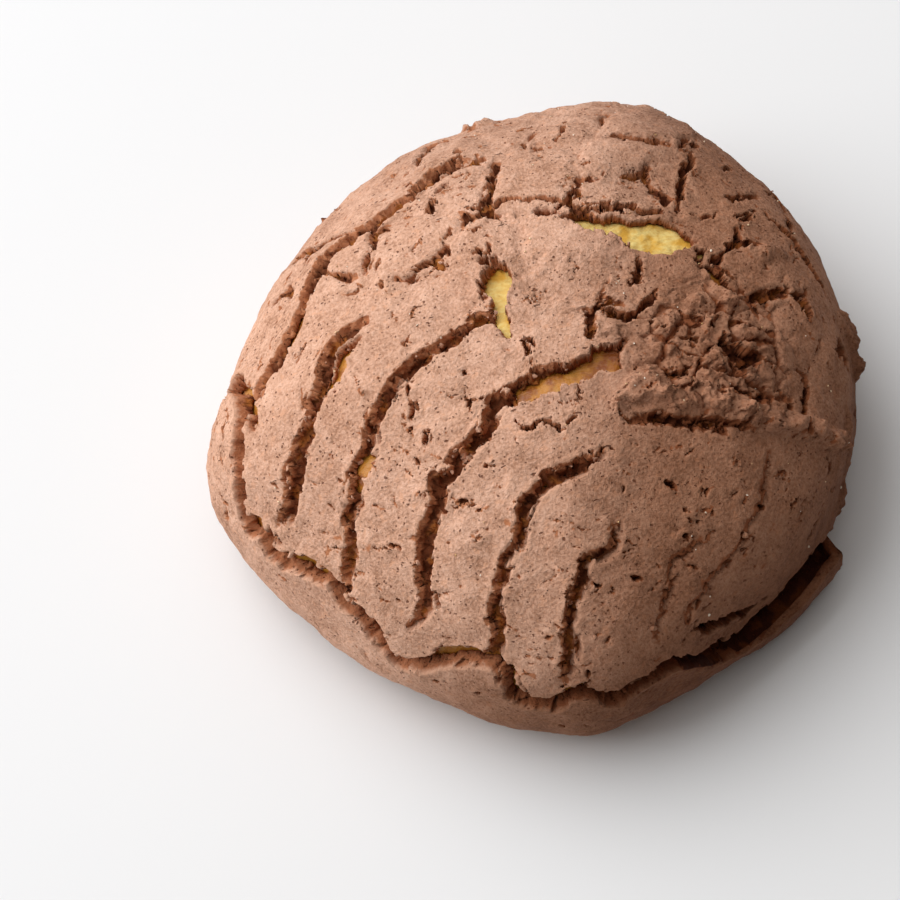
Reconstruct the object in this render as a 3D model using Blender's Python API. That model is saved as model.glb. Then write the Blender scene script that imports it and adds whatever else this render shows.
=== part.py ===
"""A chocolate concha: a round sweet bun under a scored and cracked sugar paste.

Lengths are in metres. The bun stands on the plane z = 0, the crown is up and
the side that the photograph shows faces -Y.
"""

import itertools
import math

import bmesh
import bpy
import numpy as np

# Outer form of the whole concha.
HEIGHT = 0.052
GIRTH_HEIGHT = 0.015
BASE_SHARE = 0.80
CROWN_POWER = 2.25
LEAN_X = 0.0040
LEAN_Y = 0.0004
CENTRE_X = 0.00157
CENTRE_Y = -0.00244

# Plan radius at the girth, one value every 30 degrees counter-clockwise from +X.
PLAN_RADII = (0.0570, 0.0608, 0.0656, 0.0616, 0.0597, 0.0575, 0.0601, 0.0531, 0.0529, 0.0580, 0.0535, 0.0555)

# How far the loose end of the lower strip stands out, by bearing in degrees.
STRIP_FLARE = ((286.0, 0.0), (296.0, 0.0022), (306.0, 0.0040), (316.0, 0.0052), (325.0, 0.0058), (333.0, 0.0))

# Sugar paste on the dough.
PASTE_THICKNESS = 0.0031
PASTE_EDGE_THICKNESS = 0.0016
PASTE_GAP = 0.00034
PASTE_EDGE_REACH = 1.25
PASTE_EDGE_WANDER = 0.05

# Relief of the paste.
SWELL_LARGE = 0.0009
SWELL_LARGE_SIZE = 0.021
SWELL_SMALL = 0.00045
SWELL_SMALL_SIZE = 0.0075
LUMP_HEIGHT = 0.0009
LUMP_SIZE = 0.0042
WANDER = 0.0006
WANDER_SIZE = 0.0055

# Mesh fineness.
ROUND_STEPS = 560
REACH_STEPS = 230
PASTE_TRIANGLES = 7900
DOUGH_ROUND_STEPS = 84
DOUGH_REACH_STEPS = 30
DOUGH_TRIANGLES = 1900

# A score or crack is a run of (bearing in degrees, reach) pairs. Reach is 0 at
# the crown, 1 at the girth and 1.5 at the base. Then come the half width, the
# depth, and how far the left and the right bank run out.
SCORES = (
    # The baker's cuts, from the outer left one to the right.
    (((97, 0.46), (110, 0.45), (123, 0.45), (136, 0.52), (150, 0.53), (160, 0.54), (167, 0.56), (174, 0.60)),
     0.0010, 0.0025, 0.0006, 0.0016),
    (((160, 0.32), (167, 0.39), (179, 0.42), (189, 0.51), (195, 0.61), (198, 0.74)),
     0.0009, 0.0025, 0.0006, 0.0018),
    (((143, 0.06), (176, 0.14), (187, 0.25), (196, 0.35), (204, 0.47), (208, 0.53), (213, 0.64), (217, 0.77)),
     0.0009, 0.0025, 0.0006, 0.0018),
    (((331, 0.14), (312, 0.13), (292, 0.10), (264, 0.09), (238, 0.14), (232, 0.20), (231, 0.28), (228, 0.35),
      (228, 0.41), (230, 0.51), (232, 0.60), (235, 0.69), (233, 0.79)),
     0.0012, 0.0026, 0.0005, 0.0019),
    (((282, 0.28), (272, 0.28), (263, 0.30), (255, 0.37), (253, 0.46), (250, 0.57), (251, 0.70), (254, 0.86)),
     0.0008, 0.0023, 0.0006, 0.0018),
    (((281, 0.43), (276, 0.47), (271, 0.48), (268, 0.55), (265, 0.64), (265, 0.72), (264, 0.82)),
     0.0006, 0.0019, 0.0005, 0.0014),
    (((298, 0.61), (293, 0.59), (288, 0.63), (284, 0.69), (282, 0.78)),
     0.0005, 0.0014, 0.0005, 0.0012),
    (((323, 0.56), (314, 0.64), (307, 0.67), (300, 0.70), (294, 0.74), (289, 0.79)),
     0.0005, 0.0012, 0.0006, 0.0014),
    # The cut round the back of the crown plate.
    (((104, 0.29), (98, 0.28), (85, 0.26), (71, 0.24), (64, 0.22), (56, 0.23), (44, 0.28), (36, 0.34),
      (30, 0.40), (26, 0.47), (26, 0.56)),
     0.0008, 0.0023, 0.0006, 0.0013),
    # Two cuts on the side that the photograph doesn't show.
    (((119, 0.62), (104, 0.60), (88, 0.62), (72, 0.61), (57, 0.64), (42, 0.62)),
     0.0008, 0.0021, 0.0006, 0.0016),
    (((128, 0.86), (108, 0.83), (88, 0.86), (68, 0.83), (48, 0.86)),
     0.0007, 0.0019, 0.0006, 0.0015),
)

CRACKS = (
    (((171, 0.21), (180, 0.22), (191, 0.24), (203, 0.28), (214, 0.31), (218, 0.36)), 0.0006, 0.0017, 0.0005, 0.0010),
    (((218, 0.63), (221, 0.59), (226, 0.58), (231, 0.60)), 0.0005, 0.0017, 0.0005, 0.0008),
    (((272, 0.25), (283, 0.27), (287, 0.29), (293, 0.30), (298, 0.31)), 0.0004, 0.0013, 0.0005, 0.0010),
    (((269, 0.54), (272, 0.55), (275, 0.58)), 0.0004, 0.0013, 0.0005, 0.0008),
    (((65, 0.30), (64, 0.24)), 0.0004, 0.0014, 0.0005, 0.0008),
    (((27, 0.22), (21, 0.20), (16, 0.18), (13, 0.16)), 0.0004, 0.0013, 0.0005, 0.0010),
    (((8, 0.21), (3, 0.19), (356, 0.18), (355, 0.13), (6, 0.10)), 0.0004, 0.0014, 0.0005, 0.0009),
    (((200, 0.03), (240, 0.05), (262, 0.09)), 0.0005, 0.0013, 0.0005, 0.0009),
    (((102, 0.23), (111, 0.23), (106, 0.18), (111, 0.15)), 0.0004, 0.0013, 0.0005, 0.0008),
    (((95, 0.38), (94, 0.34), (97, 0.30)), 0.0005, 0.0014, 0.0005, 0.0008),
    (((115, 0.27), (121, 0.24), (126, 0.21)), 0.0004, 0.0012, 0.0005, 0.0008),
    (((136, 0.28), (130, 0.24), (141, 0.24)), 0.0004, 0.0014, 0.0005, 0.0008),
    (((127, 0.39), (131, 0.36)), 0.0005, 0.0014, 0.0005, 0.0008),
    (((136, 0.37), (141, 0.34), (148, 0.29)), 0.0005, 0.0014, 0.0005, 0.0008),
    (((83, 0.53), (83, 0.45), (84, 0.42)), 0.0005, 0.0015, 0.0005, 0.0009),
    (((75, 0.55), (74, 0.47), (78, 0.42)), 0.0005, 0.0015, 0.0005, 0.0009),
    (((46, 0.53), (42, 0.44), (37, 0.36)), 0.0005, 0.0015, 0.0005, 0.0009),
    (((25, 0.60), (20, 0.64), (15, 0.66), (10, 0.69)), 0.0006, 0.0017, 0.0005, 0.0010),
    (((4, 0.54), (360, 0.58), (357, 0.61)), 0.0006, 0.0016, 0.0005, 0.0009),
    (((357, 0.72), (354, 0.76), (351, 0.82)), 0.0009, 0.0021, 0.0006, 0.0012),
    (((15, 0.32), (11, 0.36), (6, 0.39), (1, 0.45)), 0.0005, 0.0015, 0.0005, 0.0009),
    (((349, 0.34), (344, 0.35), (340, 0.40), (344, 0.48)), 0.0009, 0.0021, 0.0005, 0.0014),
    (((297, 0.42), (299, 0.46)), 0.0005, 0.0013, 0.0005, 0.0009),
    (((332, 0.80), (327, 0.82)), 0.0006, 0.0015, 0.0005, 0.0010),
    (((316, 0.73), (320, 0.72), (325, 0.67)), 0.0004, 0.0012, 0.0005, 0.0009),
    (((290, 0.83), (298, 0.88), (304, 0.93), (308, 0.97)), 0.0006, 0.0019, 0.0005, 0.0009),
    (((247, 0.19), (256, 0.20), (267, 0.20), (276, 0.18), (286, 0.15)), 0.0005, 0.0016, 0.0005, 0.0007),
)

# Cliffs between two levels of the paste: a steep upper bank, a long lower one.
LEDGES = (
    (((298, 0.25), (303, 0.29), (311, 0.35), (321, 0.42), (331, 0.45), (336, 0.58)), 0.0006, 0.0021, 0.0024, 0.0090),
)

# Places where the paste has torn open and the dough shows.
WINDOWS = (
    (((63, 0.22), (50, 0.22), (38, 0.24), (30, 0.28), (25, 0.33)), 0.0019, 0.0052, 0.0006, 0.0012),
    (((118, 0.12), (132, 0.09), (165, 0.06)), 0.0012, 0.0048, 0.0006, 0.0012),
    (((333, 0.14), (312, 0.12), (285, 0.09), (268, 0.09)), 0.0016, 0.0050, 0.0006, 0.0012),
    (((169, 0.22), (173, 0.22)), 0.0009, 0.0048, 0.0006, 0.0010),
    (((205, 0.28), (211, 0.30)), 0.0007, 0.0046, 0.0005, 0.0010),
    (((114, 0.35), (115, 0.36)), 0.0008, 0.0046, 0.0005, 0.0009),
)

# The tear that parts the lower strip from the paste above it, with the half
# width of each stretch. It runs down to the base at both ends.
TEAR = (
    (160, 1.50, 0.0013), (162, 1.20, 0.0013), (163, 0.92, 0.0013), (166, 0.72, 0.0014), (172, 0.66, 0.0014),
    (179, 0.68, 0.0011), (185, 0.72, 0.0009), (189, 0.79, 0.0009), (192, 0.84, 0.0010), (195, 0.80, 0.0010),
    (200, 0.85, 0.0010), (206, 0.81, 0.0010), (213, 0.78, 0.0009), (218, 0.83, 0.0010), (224, 0.85, 0.0013),
    (229, 0.92, 0.0010), (236, 0.91, 0.0009), (242, 0.83, 0.0009), (249, 0.79, 0.0009), (253, 0.82, 0.0009),
    (256, 0.90, 0.0010), (261, 0.91, 0.0010), (266, 0.86, 0.0009), (273, 0.90, 0.0009), (283, 0.88, 0.0009),
    (289, 0.93, 0.0010), (296, 1.01, 0.0011), (303, 1.06, 0.0014), (311, 1.08, 0.0017), (319, 1.07, 0.0021),
    (326, 1.13, 0.0019), (329, 1.28, 0.0015), (330, 1.50, 0.0013),
)
TEAR_DEPTH = 0.0070

CLUMP_CENTRE = (344, 0.34)
CLUMP_RADIUS = 0.0150


class Noise:
    """Smooth seeded noise over points in space."""

    def __init__(self, seed):
        source = np.random.default_rng(seed)
        self.order = source.permutation(256)
        slopes = source.normal(size=(256, 3))
        self.slopes = slopes / np.linalg.norm(slopes, axis=1, keepdims=True)

    def pick(self, cell):
        first = self.order[cell[:, 0] & 255]
        second = self.order[(first + cell[:, 1]) & 255]
        return self.order[(second + cell[:, 2]) & 255]

    def at(self, points, size):
        scaled = points / size + 37.0
        cell = np.floor(scaled).astype(int)
        local = scaled - cell
        fade = local ** 3 * (local * (local * 6.0 - 15.0) + 10.0)
        total = np.zeros(len(points))
        for corner in itertools.product((0, 1), repeat=3):
            offset = np.array(corner)
            slope = self.slopes[self.pick(cell + offset)]
            value = ((local - offset) * slope).sum(axis=1)
            weight = np.where(offset == 1, fade, 1.0 - fade).prod(axis=1)
            total += weight * value
        return total

    def shift(self, points, size, amount):
        parts = [self.at(points + 3.1 * size * (axis + 1), size) for axis in range(3)]
        return amount * np.stack(parts, axis=1)


def smooth_step(value):
    """Ease from 0 to 1 while value goes from 0 to 1."""
    held = np.clip(value, 0.0, 1.0)
    return held * held * (3.0 - 2.0 * held)


def spline_value(rows, index, share):
    """Catmull-Rom value between rows index and index + 1."""
    a, b, c, d = rows[index - 1], rows[index], rows[index + 1], rows[index + 2]
    return 0.5 * (2.0 * b + (c - a) * share + (2.0 * a - 5.0 * b + 4.0 * c - d) * share ** 2
                  + (3.0 * b - a - 3.0 * c + d) * share ** 3)


def plan_radius(bearing):
    """Radius of the girth at each bearing in radians."""
    radii = np.array(PLAN_RADII)
    place = (bearing / (2.0 * math.pi) * len(radii)) % len(radii)
    index = np.floor(place).astype(int)
    share = place - index
    near = [radii[(index + step) % len(radii)] for step in (-1, 0, 1, 2)]
    a, b, c, d = near
    return 0.5 * (2.0 * b + (c - a) * share + (2.0 * a - 5.0 * b + 4.0 * c - d) * share ** 2
                  + (3.0 * b - a - 3.0 * c + d) * share ** 3)


def dome(bearing, reach):
    """Points of the smooth outer form."""
    upper = np.clip(reach, 0.0, 1.0) * math.pi / 2.0
    lower = np.clip(reach - 1.0, 0.0, 0.5) * math.pi
    power = 2.0 / CROWN_POWER
    above = reach <= 1.0
    out = np.where(above, np.sin(upper) ** power, BASE_SHARE + (1.0 - BASE_SHARE) * np.cos(lower))
    crown = GIRTH_HEIGHT + (HEIGHT - GIRTH_HEIGHT) * np.abs(np.cos(upper)) ** power
    height = np.where(above, crown, GIRTH_HEIGHT * (1.0 - np.sin(lower)))
    radius = plan_radius(bearing) * out
    lean = np.clip((height - GIRTH_HEIGHT) / (HEIGHT - GIRTH_HEIGHT), 0.0, 1.0)
    across = radius * np.cos(bearing) + LEAN_X * lean + CENTRE_X
    along = radius * np.sin(bearing) + LEAN_Y * lean + CENTRE_Y
    return np.stack([across, along, height], axis=-1)


def dome_normals(bearing, reach):
    """Outward unit normals of the smooth outer form."""
    inner = np.clip(reach, 0.012, 1.47)
    turn = dome(bearing + 0.004, inner) - dome(bearing - 0.004, inner)
    fall = dome(bearing, inner + 0.004) - dome(bearing, inner - 0.004)
    normal = np.cross(fall, turn)
    normal /= np.linalg.norm(normal, axis=-1, keepdims=True)
    up = np.array([0.0, 0.0, 1.0])
    share = smooth_step((0.05 - reach) / 0.05)[..., None]
    normal = normal * (1.0 - share) + up * share
    return normal / np.linalg.norm(normal, axis=-1, keepdims=True)


class Track:
    """A line on the dome, sampled about every 0.4 mm."""

    def __init__(self, knots, half_width):
        flat = [(row[1] * math.cos(math.radians(row[0])), row[1] * math.sin(math.radians(row[0])),
                 row[2] if len(row) > 2 else half_width) for row in knots]
        rows = np.array([flat[0]] + flat + [flat[-1]])
        found = []
        for index in range(1, len(rows) - 2):
            steps = max(3, int(np.linalg.norm(rows[index + 1][:2] - rows[index][:2]) * 0.085 / 0.0004))
            found += [spline_value(rows, index, step / steps) for step in range(steps)]
        found.append(rows[-1])
        chart = np.array(found)
        bearing = np.arctan2(chart[:, 1], chart[:, 0])
        reach = np.hypot(chart[:, 0], chart[:, 1])
        self.points = dome(bearing, reach)
        self.half = chart[:, 2]
        normals = dome_normals(bearing, reach)
        heading = np.gradient(self.points, axis=0)
        heading /= np.linalg.norm(heading, axis=1, keepdims=True) + 1e-12
        self.left = np.cross(normals, heading)
        run = np.linalg.norm(np.diff(self.points, axis=0), axis=1)
        self.along = np.concatenate([[0.0], np.cumsum(run)])

    def read(self, points, limit):
        """Distance, side and sample of each point within limit of the line."""
        low = self.points.min(axis=0) - limit
        high = self.points.max(axis=0) + limit
        near = np.nonzero(((points > low) & (points < high)).all(axis=1))[0]
        away = np.zeros(len(near))
        side = np.zeros(len(near))
        sample = np.zeros(len(near), dtype=int)
        for start in range(0, len(near), 20000):
            part = near[start:start + 20000]
            delta = points[part][:, None, :] - self.points[None, :, :]
            square = (delta ** 2).sum(axis=2)
            best = square.argmin(axis=1)
            rows = np.arange(len(part))
            stop = start + len(part)
            away[start:stop] = np.sqrt(square[rows, best])
            side[start:stop] = (delta[rows, best] * self.left[best]).sum(axis=1)
            sample[start:stop] = best
        return near, away, side, sample


def cut(points, knots, half, depth, left_run, right_run, taper=0.003):
    """Depth of one groove at every point, and the points that it reaches."""
    track = Track(knots, half)
    limit = max(left_run, right_run) + 0.004
    near, away, side, sample = track.read(points, limit)
    run = np.where(side > 0.0, left_run, right_run)
    bank = smooth_step((away - track.half[sample]) / run)
    ends = np.minimum(track.along[sample], track.along[-1] - track.along[sample])
    fade = smooth_step(ends / taper) if taper > 0.0 else np.ones(len(ends))
    return near, -depth * (1.0 - bank) * (0.25 + 0.75 * fade)


def lumps(points, size, seed):
    """Rounded clumps: high at scattered centres, low between them."""
    source = np.random.default_rng(seed)
    jitter = source.random((4096, 3))
    cell = np.floor(points / size).astype(int)
    nearest = np.full(len(points), 9.0)
    for corner in itertools.product((-1, 0, 1), repeat=3):
        other = cell + np.array(corner)
        index = (other[:, 0] * 73 + other[:, 1] * 179 + other[:, 2] * 283) & 4095
        centre = (other + jitter[index]) * size
        nearest = np.minimum(nearest, np.linalg.norm(points - centre, axis=1) / size)
    return 1.0 - np.clip(nearest, 0.0, 1.0) ** 2


def paste_relief(points):
    """Height of the real paste surface over the smooth dome."""
    noise = Noise(11)
    swell = SWELL_LARGE * 1.5 * noise.at(points, SWELL_LARGE_SIZE)
    swell += SWELL_SMALL * 1.5 * noise.at(points + 0.5, SWELL_SMALL_SIZE)
    bent = points + noise.shift(points, WANDER_SIZE, WANDER)
    low = np.zeros(len(points))
    for row in SCORES + CRACKS + LEDGES + WINDOWS:
        near, depth = cut(bent, *row)
        low[near] = np.minimum(low[near], depth)
    near, depth = cut(bent, TEAR, 0.001, TEAR_DEPTH, 0.0006, 0.0008, taper=0.0)
    low[near] = np.minimum(low[near], depth)
    centre = dome(np.array([math.radians(CLUMP_CENTRE[0])]), np.array([CLUMP_CENTRE[1]]))[0]
    spread = smooth_step(1.3 - np.linalg.norm(points - centre, axis=1) / CLUMP_RADIUS)
    clumps = LUMP_HEIGHT * (lumps(points, LUMP_SIZE, 5) - 0.55) * spread
    return swell + low + clumps


def flare(bearing, reach):
    """How far the loose end of the lower strip stands out of the dome."""
    degrees = np.degrees(bearing) % 360.0
    table = np.array(STRIP_FLARE)
    out = np.interp(degrees, table[:, 0], table[:, 1])
    line = np.array(TEAR)[1:-1]
    start = np.interp(degrees, line[:, 0], line[:, 1])
    return out * smooth_step((reach - start - 0.035) / 0.06)


def paste_depth(reach):
    """Thickness of the paste at each reach."""
    share = smooth_step((reach - 0.95) / 0.40)
    return PASTE_THICKNESS * (1.0 - share) + PASTE_EDGE_THICKNESS * share


def dough_rise(points):
    """How far the dough swells up where the paste has torn open."""
    rise = np.zeros(len(points))
    for knots, half, depth, left_run, right_run in WINDOWS:
        near, low = cut(points, knots, half, 0.0013, 0.0030, 0.0030)
        rise[near] = np.maximum(rise[near], -low)
    return rise


def grid(round_steps, reach_values):
    """Bearing and reach of every ring point, ring by ring."""
    turn = np.linspace(0.0, 2.0 * math.pi, round_steps, endpoint=False)
    reach = np.asarray(reach_values)
    return np.tile(turn, len(reach)), np.repeat(reach, round_steps)


def closed_mesh(name, rings, round_steps, top, bottom):
    """A closed body of stacked rings with a point at the crown and one below."""
    count = len(rings) // round_steps
    body = bmesh.new()
    verts = [body.verts.new(point) for point in rings]
    crown = body.verts.new(top)
    foot = body.verts.new(bottom)
    for ring in range(count - 1):
        start = ring * round_steps
        for step in range(round_steps):
            after = (step + 1) % round_steps
            body.faces.new((verts[start + step], verts[start + round_steps + step],
                            verts[start + round_steps + after], verts[start + after]))
    last = (count - 1) * round_steps
    for step in range(round_steps):
        after = (step + 1) % round_steps
        body.faces.new((crown, verts[step], verts[after]))
        body.faces.new((foot, verts[last + after], verts[last + step]))
    mesh = bpy.data.meshes.new(name)
    body.to_mesh(mesh)
    body.free()
    return mesh


def add_object(name, mesh):
    """Link a mesh into the scene."""
    piece = bpy.data.objects.new(name, mesh)
    bpy.context.scene.collection.objects.link(piece)
    return piece


def settle(piece):
    """Turn a piece's modifiers into its own mesh."""
    graph = bpy.context.evaluated_depsgraph_get()
    graph.update()
    mesh = bpy.data.meshes.new_from_object(piece.evaluated_get(graph))
    piece.modifiers.clear()
    old = piece.data
    piece.data = mesh
    bpy.data.meshes.remove(old)


def thin_out(piece, triangles):
    """Bring a dense piece down to about this many triangles."""
    now = sum(len(face.vertices) - 2 for face in piece.data.polygons)
    fewer = piece.modifiers.new("fewer", "DECIMATE")
    fewer.ratio = min(1.0, triangles / now)
    fewer.use_collapse_triangulate = True
    settle(piece)


def make_dough():
    """The bread under the paste, with its flat baked foot."""
    reach = np.linspace(0.03, 1.5, DOUGH_REACH_STEPS)
    bearing, reach = grid(DOUGH_ROUND_STEPS * 2, reach)
    points = dome(bearing, reach)
    normals = dome_normals(bearing, reach)
    sink = paste_depth(reach) + PASTE_GAP
    sink *= smooth_step((1.5 - reach) / 0.12)
    noise = Noise(23)
    swell = 0.00045 * noise.at(points, 0.014) * smooth_step((1.5 - reach) / 0.3)
    height = swell - sink + dough_rise(points)
    points = points + normals * height[:, None]
    top = dome(np.array([0.0]), np.array([0.0]))[0] - np.array([0.0, 0.0, PASTE_THICKNESS + PASTE_GAP])
    points[:, 2] = np.maximum(points[:, 2], 0.0)
    points[reach > 1.4999, 2] = 0.0
    foot = np.array([CENTRE_X, CENTRE_Y, 0.0])
    piece = add_object("dough", closed_mesh("dough", points, DOUGH_ROUND_STEPS * 2, top, foot))
    thin_out(piece, DOUGH_TRIANGLES)
    return piece


def make_paste_block():
    """A solid with the outer form of the paste, filled down to inside the dough."""
    values = np.concatenate([np.linspace(0.012, 0.9, int(REACH_STEPS * 0.62)),
                             np.linspace(0.9, 1.0, int(REACH_STEPS * 0.38) + 1)[1:]])
    bearing, share = grid(ROUND_STEPS, values)
    edge_noise = Noise(31)
    ring = dome(bearing, np.ones(len(bearing)))
    edge = PASTE_EDGE_REACH + PASTE_EDGE_WANDER * edge_noise.at(ring, 0.012)
    reach = np.where(share <= 0.9, share, 0.9 + (share - 0.9) / 0.1 * (edge - 0.9))
    points = dome(bearing, reach)
    normals = dome_normals(bearing, reach)
    height = paste_relief(points)
    out = flare(bearing, reach)
    side = np.stack([np.cos(bearing), np.sin(bearing), np.zeros(len(bearing))], axis=1)
    points = points + normals * height[:, None] + side * out[:, None]
    inner = dome(bearing[-ROUND_STEPS:], reach[-ROUND_STEPS:])
    inner = inner - normals[-ROUND_STEPS:] * 0.0080
    points = np.concatenate([points, inner])
    crown_height = paste_relief(dome(np.array([0.0]), np.array([0.0])))[0]
    top = dome(np.array([0.0]), np.array([0.0]))[0] + np.array([0.0, 0.0, crown_height])
    foot = np.array([0.0, 0.0, 0.0060])
    piece = add_object("paste_block", closed_mesh("paste_block", points, ROUND_STEPS, top, foot))
    thin_out(piece, PASTE_TRIANGLES)
    return piece


def make_cutter(dough):
    """The dough grown by the gap, to hollow the paste."""
    mesh = dough.data.copy()
    body = bmesh.new()
    body.from_mesh(mesh)
    body.normal_update()
    moved = [vert.co + vert.normal * PASTE_GAP for vert in body.verts]
    for vert, place in zip(body.verts, moved):
        vert.co = place
    body.to_mesh(mesh)
    body.free()
    cutter = add_object("cutter", mesh)
    cutter.hide_render = True
    cutter.display_type = "WIRE"
    return cutter


def loose_bodies(piece):
    """Every closed body of a mesh, as (volume, list of face indices)."""
    body = bmesh.new()
    body.from_mesh(piece.data)
    bmesh.ops.triangulate(body, faces=body.faces)
    body.faces.ensure_lookup_table()
    seen = set()
    groups = []
    for face in body.faces:
        if face.index in seen:
            continue
        seen.add(face.index)
        queue = [face]
        group = []
        volume = 0.0
        while queue:
            here = queue.pop()
            group.append(here.index)
            a, b, c = [vert.co for vert in here.verts]
            volume += a.dot(b.cross(c)) / 6.0
            for edge in here.edges:
                for other in edge.link_faces:
                    if other.index not in seen:
                        seen.add(other.index)
                        queue.append(other)
        groups.append((volume, group))
    groups.sort(key=lambda item: item[0], reverse=True)
    return body, groups


def take_body(body, group, name):
    """A piece of its own from one closed body."""
    copy = body.copy()
    copy.faces.ensure_lookup_table()
    keep = set(group)
    extra = [face for face in copy.faces if face.index not in keep]
    bmesh.ops.delete(copy, geom=extra, context="FACES")
    bmesh.ops.dissolve_degenerate(copy, dist=0.00002, edges=copy.edges)
    bmesh.ops.triangulate(copy, faces=copy.faces)
    mesh = bpy.data.meshes.new(name)
    copy.to_mesh(mesh)
    copy.free()
    return add_object(name, mesh)


def make_material(name, color, roughness):
    """A plain finish for one piece."""
    material = bpy.data.materials.new(name)
    material.use_nodes = True
    shader = material.node_tree.nodes["Principled BSDF"]
    shader.inputs["Base Color"].default_value = (*color, 1.0)
    shader.inputs["Roughness"].default_value = roughness
    material.diffuse_color = (*color, 1.0)
    return material


def main():
    """Build the dough, then the paste over it in its two pieces."""
    for piece in list(bpy.data.objects):
        bpy.data.objects.remove(piece)
    dough = make_dough()
    block = make_paste_block()
    cutter = make_cutter(dough)
    hollow = block.modifiers.new("hollow", "BOOLEAN")
    hollow.operation = "DIFFERENCE"
    hollow.solver = "MANIFOLD"
    hollow.object = cutter
    settle(block)
    body, groups = loose_bodies(block)
    print("bodies", [(round(volume * 1e9, 1), len(group)) for volume, group in groups][:8])
    topping = take_body(body, groups[0][1], "topping")
    strip = take_body(body, groups[1][1], "lower_strip")
    body.free()
    bpy.data.objects.remove(block)
    bpy.data.objects.remove(cutter)
    paste = make_material("chocolate_paste", (0.47, 0.27, 0.19), 0.85)
    strip_paste = make_material("chocolate_paste_strip", (0.45, 0.25, 0.18), 0.85)
    crust = make_material("bread_crust", (0.78, 0.50, 0.16), 0.6)
    for piece, material in ((dough, crust), (topping, paste), (strip, strip_paste)):
        piece.data.materials.clear()
        piece.data.materials.append(material)


main()
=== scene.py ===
"""Looks of a chocolate concha: baked dough under a scored, cracked sugar paste.

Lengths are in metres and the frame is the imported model's own: the bun stands
on z = 0 and the side that the photograph shows faces -Y.
"""

import itertools
import logging
import math
from dataclasses import dataclass, field
from enum import Enum, IntEnum
from functools import partial
from typing import Iterable, Mapping, Sequence

import bmesh
import bpy
import numpy as np
from mathutils import Matrix, Vector
from mathutils.kdtree import KDTree

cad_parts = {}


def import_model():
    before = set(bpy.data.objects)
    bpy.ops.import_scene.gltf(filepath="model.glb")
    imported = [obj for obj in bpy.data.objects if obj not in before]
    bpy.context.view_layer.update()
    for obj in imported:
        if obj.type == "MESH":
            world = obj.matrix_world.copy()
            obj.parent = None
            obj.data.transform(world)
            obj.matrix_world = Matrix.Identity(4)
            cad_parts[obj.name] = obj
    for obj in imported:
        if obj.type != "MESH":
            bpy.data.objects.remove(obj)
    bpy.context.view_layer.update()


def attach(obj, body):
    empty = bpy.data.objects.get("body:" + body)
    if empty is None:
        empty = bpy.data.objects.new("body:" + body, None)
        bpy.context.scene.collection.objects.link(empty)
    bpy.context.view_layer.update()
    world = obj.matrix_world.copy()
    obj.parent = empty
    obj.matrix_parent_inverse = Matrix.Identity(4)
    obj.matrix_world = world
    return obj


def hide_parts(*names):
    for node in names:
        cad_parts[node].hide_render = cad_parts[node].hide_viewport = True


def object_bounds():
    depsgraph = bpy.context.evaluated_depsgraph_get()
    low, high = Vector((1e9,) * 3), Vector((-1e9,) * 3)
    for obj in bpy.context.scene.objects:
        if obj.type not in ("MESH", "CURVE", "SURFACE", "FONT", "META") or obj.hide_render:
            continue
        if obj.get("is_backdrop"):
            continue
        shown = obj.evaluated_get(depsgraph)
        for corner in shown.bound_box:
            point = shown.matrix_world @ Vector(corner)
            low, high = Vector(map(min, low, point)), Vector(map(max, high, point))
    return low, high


LOG = logging.getLogger("concha")
BASE_REACH = 1.5

Knot = tuple[float, ...]
Knots = tuple[Knot, ...]
Color = tuple[float, float, float]
Triple = tuple[float, float, float]


class GrooveKind(Enum):
    """What made a line in the paste.

    A ledge is the foot of a step. A window shows torn crumb, a peep shows
    baked crust.
    """

    SCORE = "score"
    CRACK = "crack"
    LEDGE = "ledge"
    WINDOW = "window"
    PEEP = "peep"
    TEAR = "tear"
    BULGE = "bulge"


class Seed(IntEnum):
    """Numbers that fix the random patterns."""

    LUMPS = 5
    FINE_LUMPS = 6
    LUMP_BENDS = 7
    PASTE = 11
    PLATE_PATCHES = 13
    CHIPS = 17
    SMALL_CHIPS = 18
    RUBBLE = 19
    PLATES = 21
    DOUGH = 23
    EDGE = 31
    EDGE_FRAY = 32
    CRAGS = 41
    FINE_CRAGS = 42
    SMALL_CRACKS = 71
    SUGAR = 91
    CRUMBS = 92


@dataclass(frozen=True)
class Walls:
    """How far the walls of a groove lean out, and how much the paste sags beside it.

    Left and right are as seen along the line. The painted shade of the groove climbs the left wall to a
    share of its width.
    """

    left: float
    right: float
    slump: float = 0.0
    painted_shade_share: float = 1.0


WALLS = {
    GrooveKind.SCORE: Walls(0.0012, 0.0009, 0.0005, 0.35),
    GrooveKind.CRACK: Walls(0.00012, 0.00018),
    GrooveKind.LEDGE: Walls(0.00120, 0.0007),
    GrooveKind.WINDOW: Walls(0.00035, 0.0008),
    GrooveKind.PEEP: Walls(0.00035, 0.0007),
    GrooveKind.TEAR: Walls(0.0014, 0.0014),
}


@dataclass(frozen=True)
class Groove:
    """One line cut, cracked or raised in the paste, its sizes in metres.

    Knots are (bearing in degrees, reach) pairs, with a half width in
    millimetres as a third value where it changes. Reach is 0 at the crown, 1
    at the girth and BASE_REACH at the base.
    """

    kind: GrooveKind
    half_width: float
    depth: float
    knots: Knots


def line(kind: GrooveKind, half_width: float, depth: float, *knots: Knot) -> Groove:
    """A line of some kind in the paste, its sizes in millimetres."""
    return Groove(kind, half_width / 1000.0, depth / 1000.0, knots)


def crack(width: float, depth: float, *knots: Knot) -> Groove:
    """A crack of the paste, its whole width and its depth in millimetres."""
    return Groove(GrooveKind.CRACK, width / 2000.0, depth / 1000.0, knots)


def bulge(half_width: float, height: float, *knots: Knot) -> Groove:
    """A raised place of the paste, its sizes in millimetres."""
    return line(GrooveKind.BULGE, half_width, -height, *knots)


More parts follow.
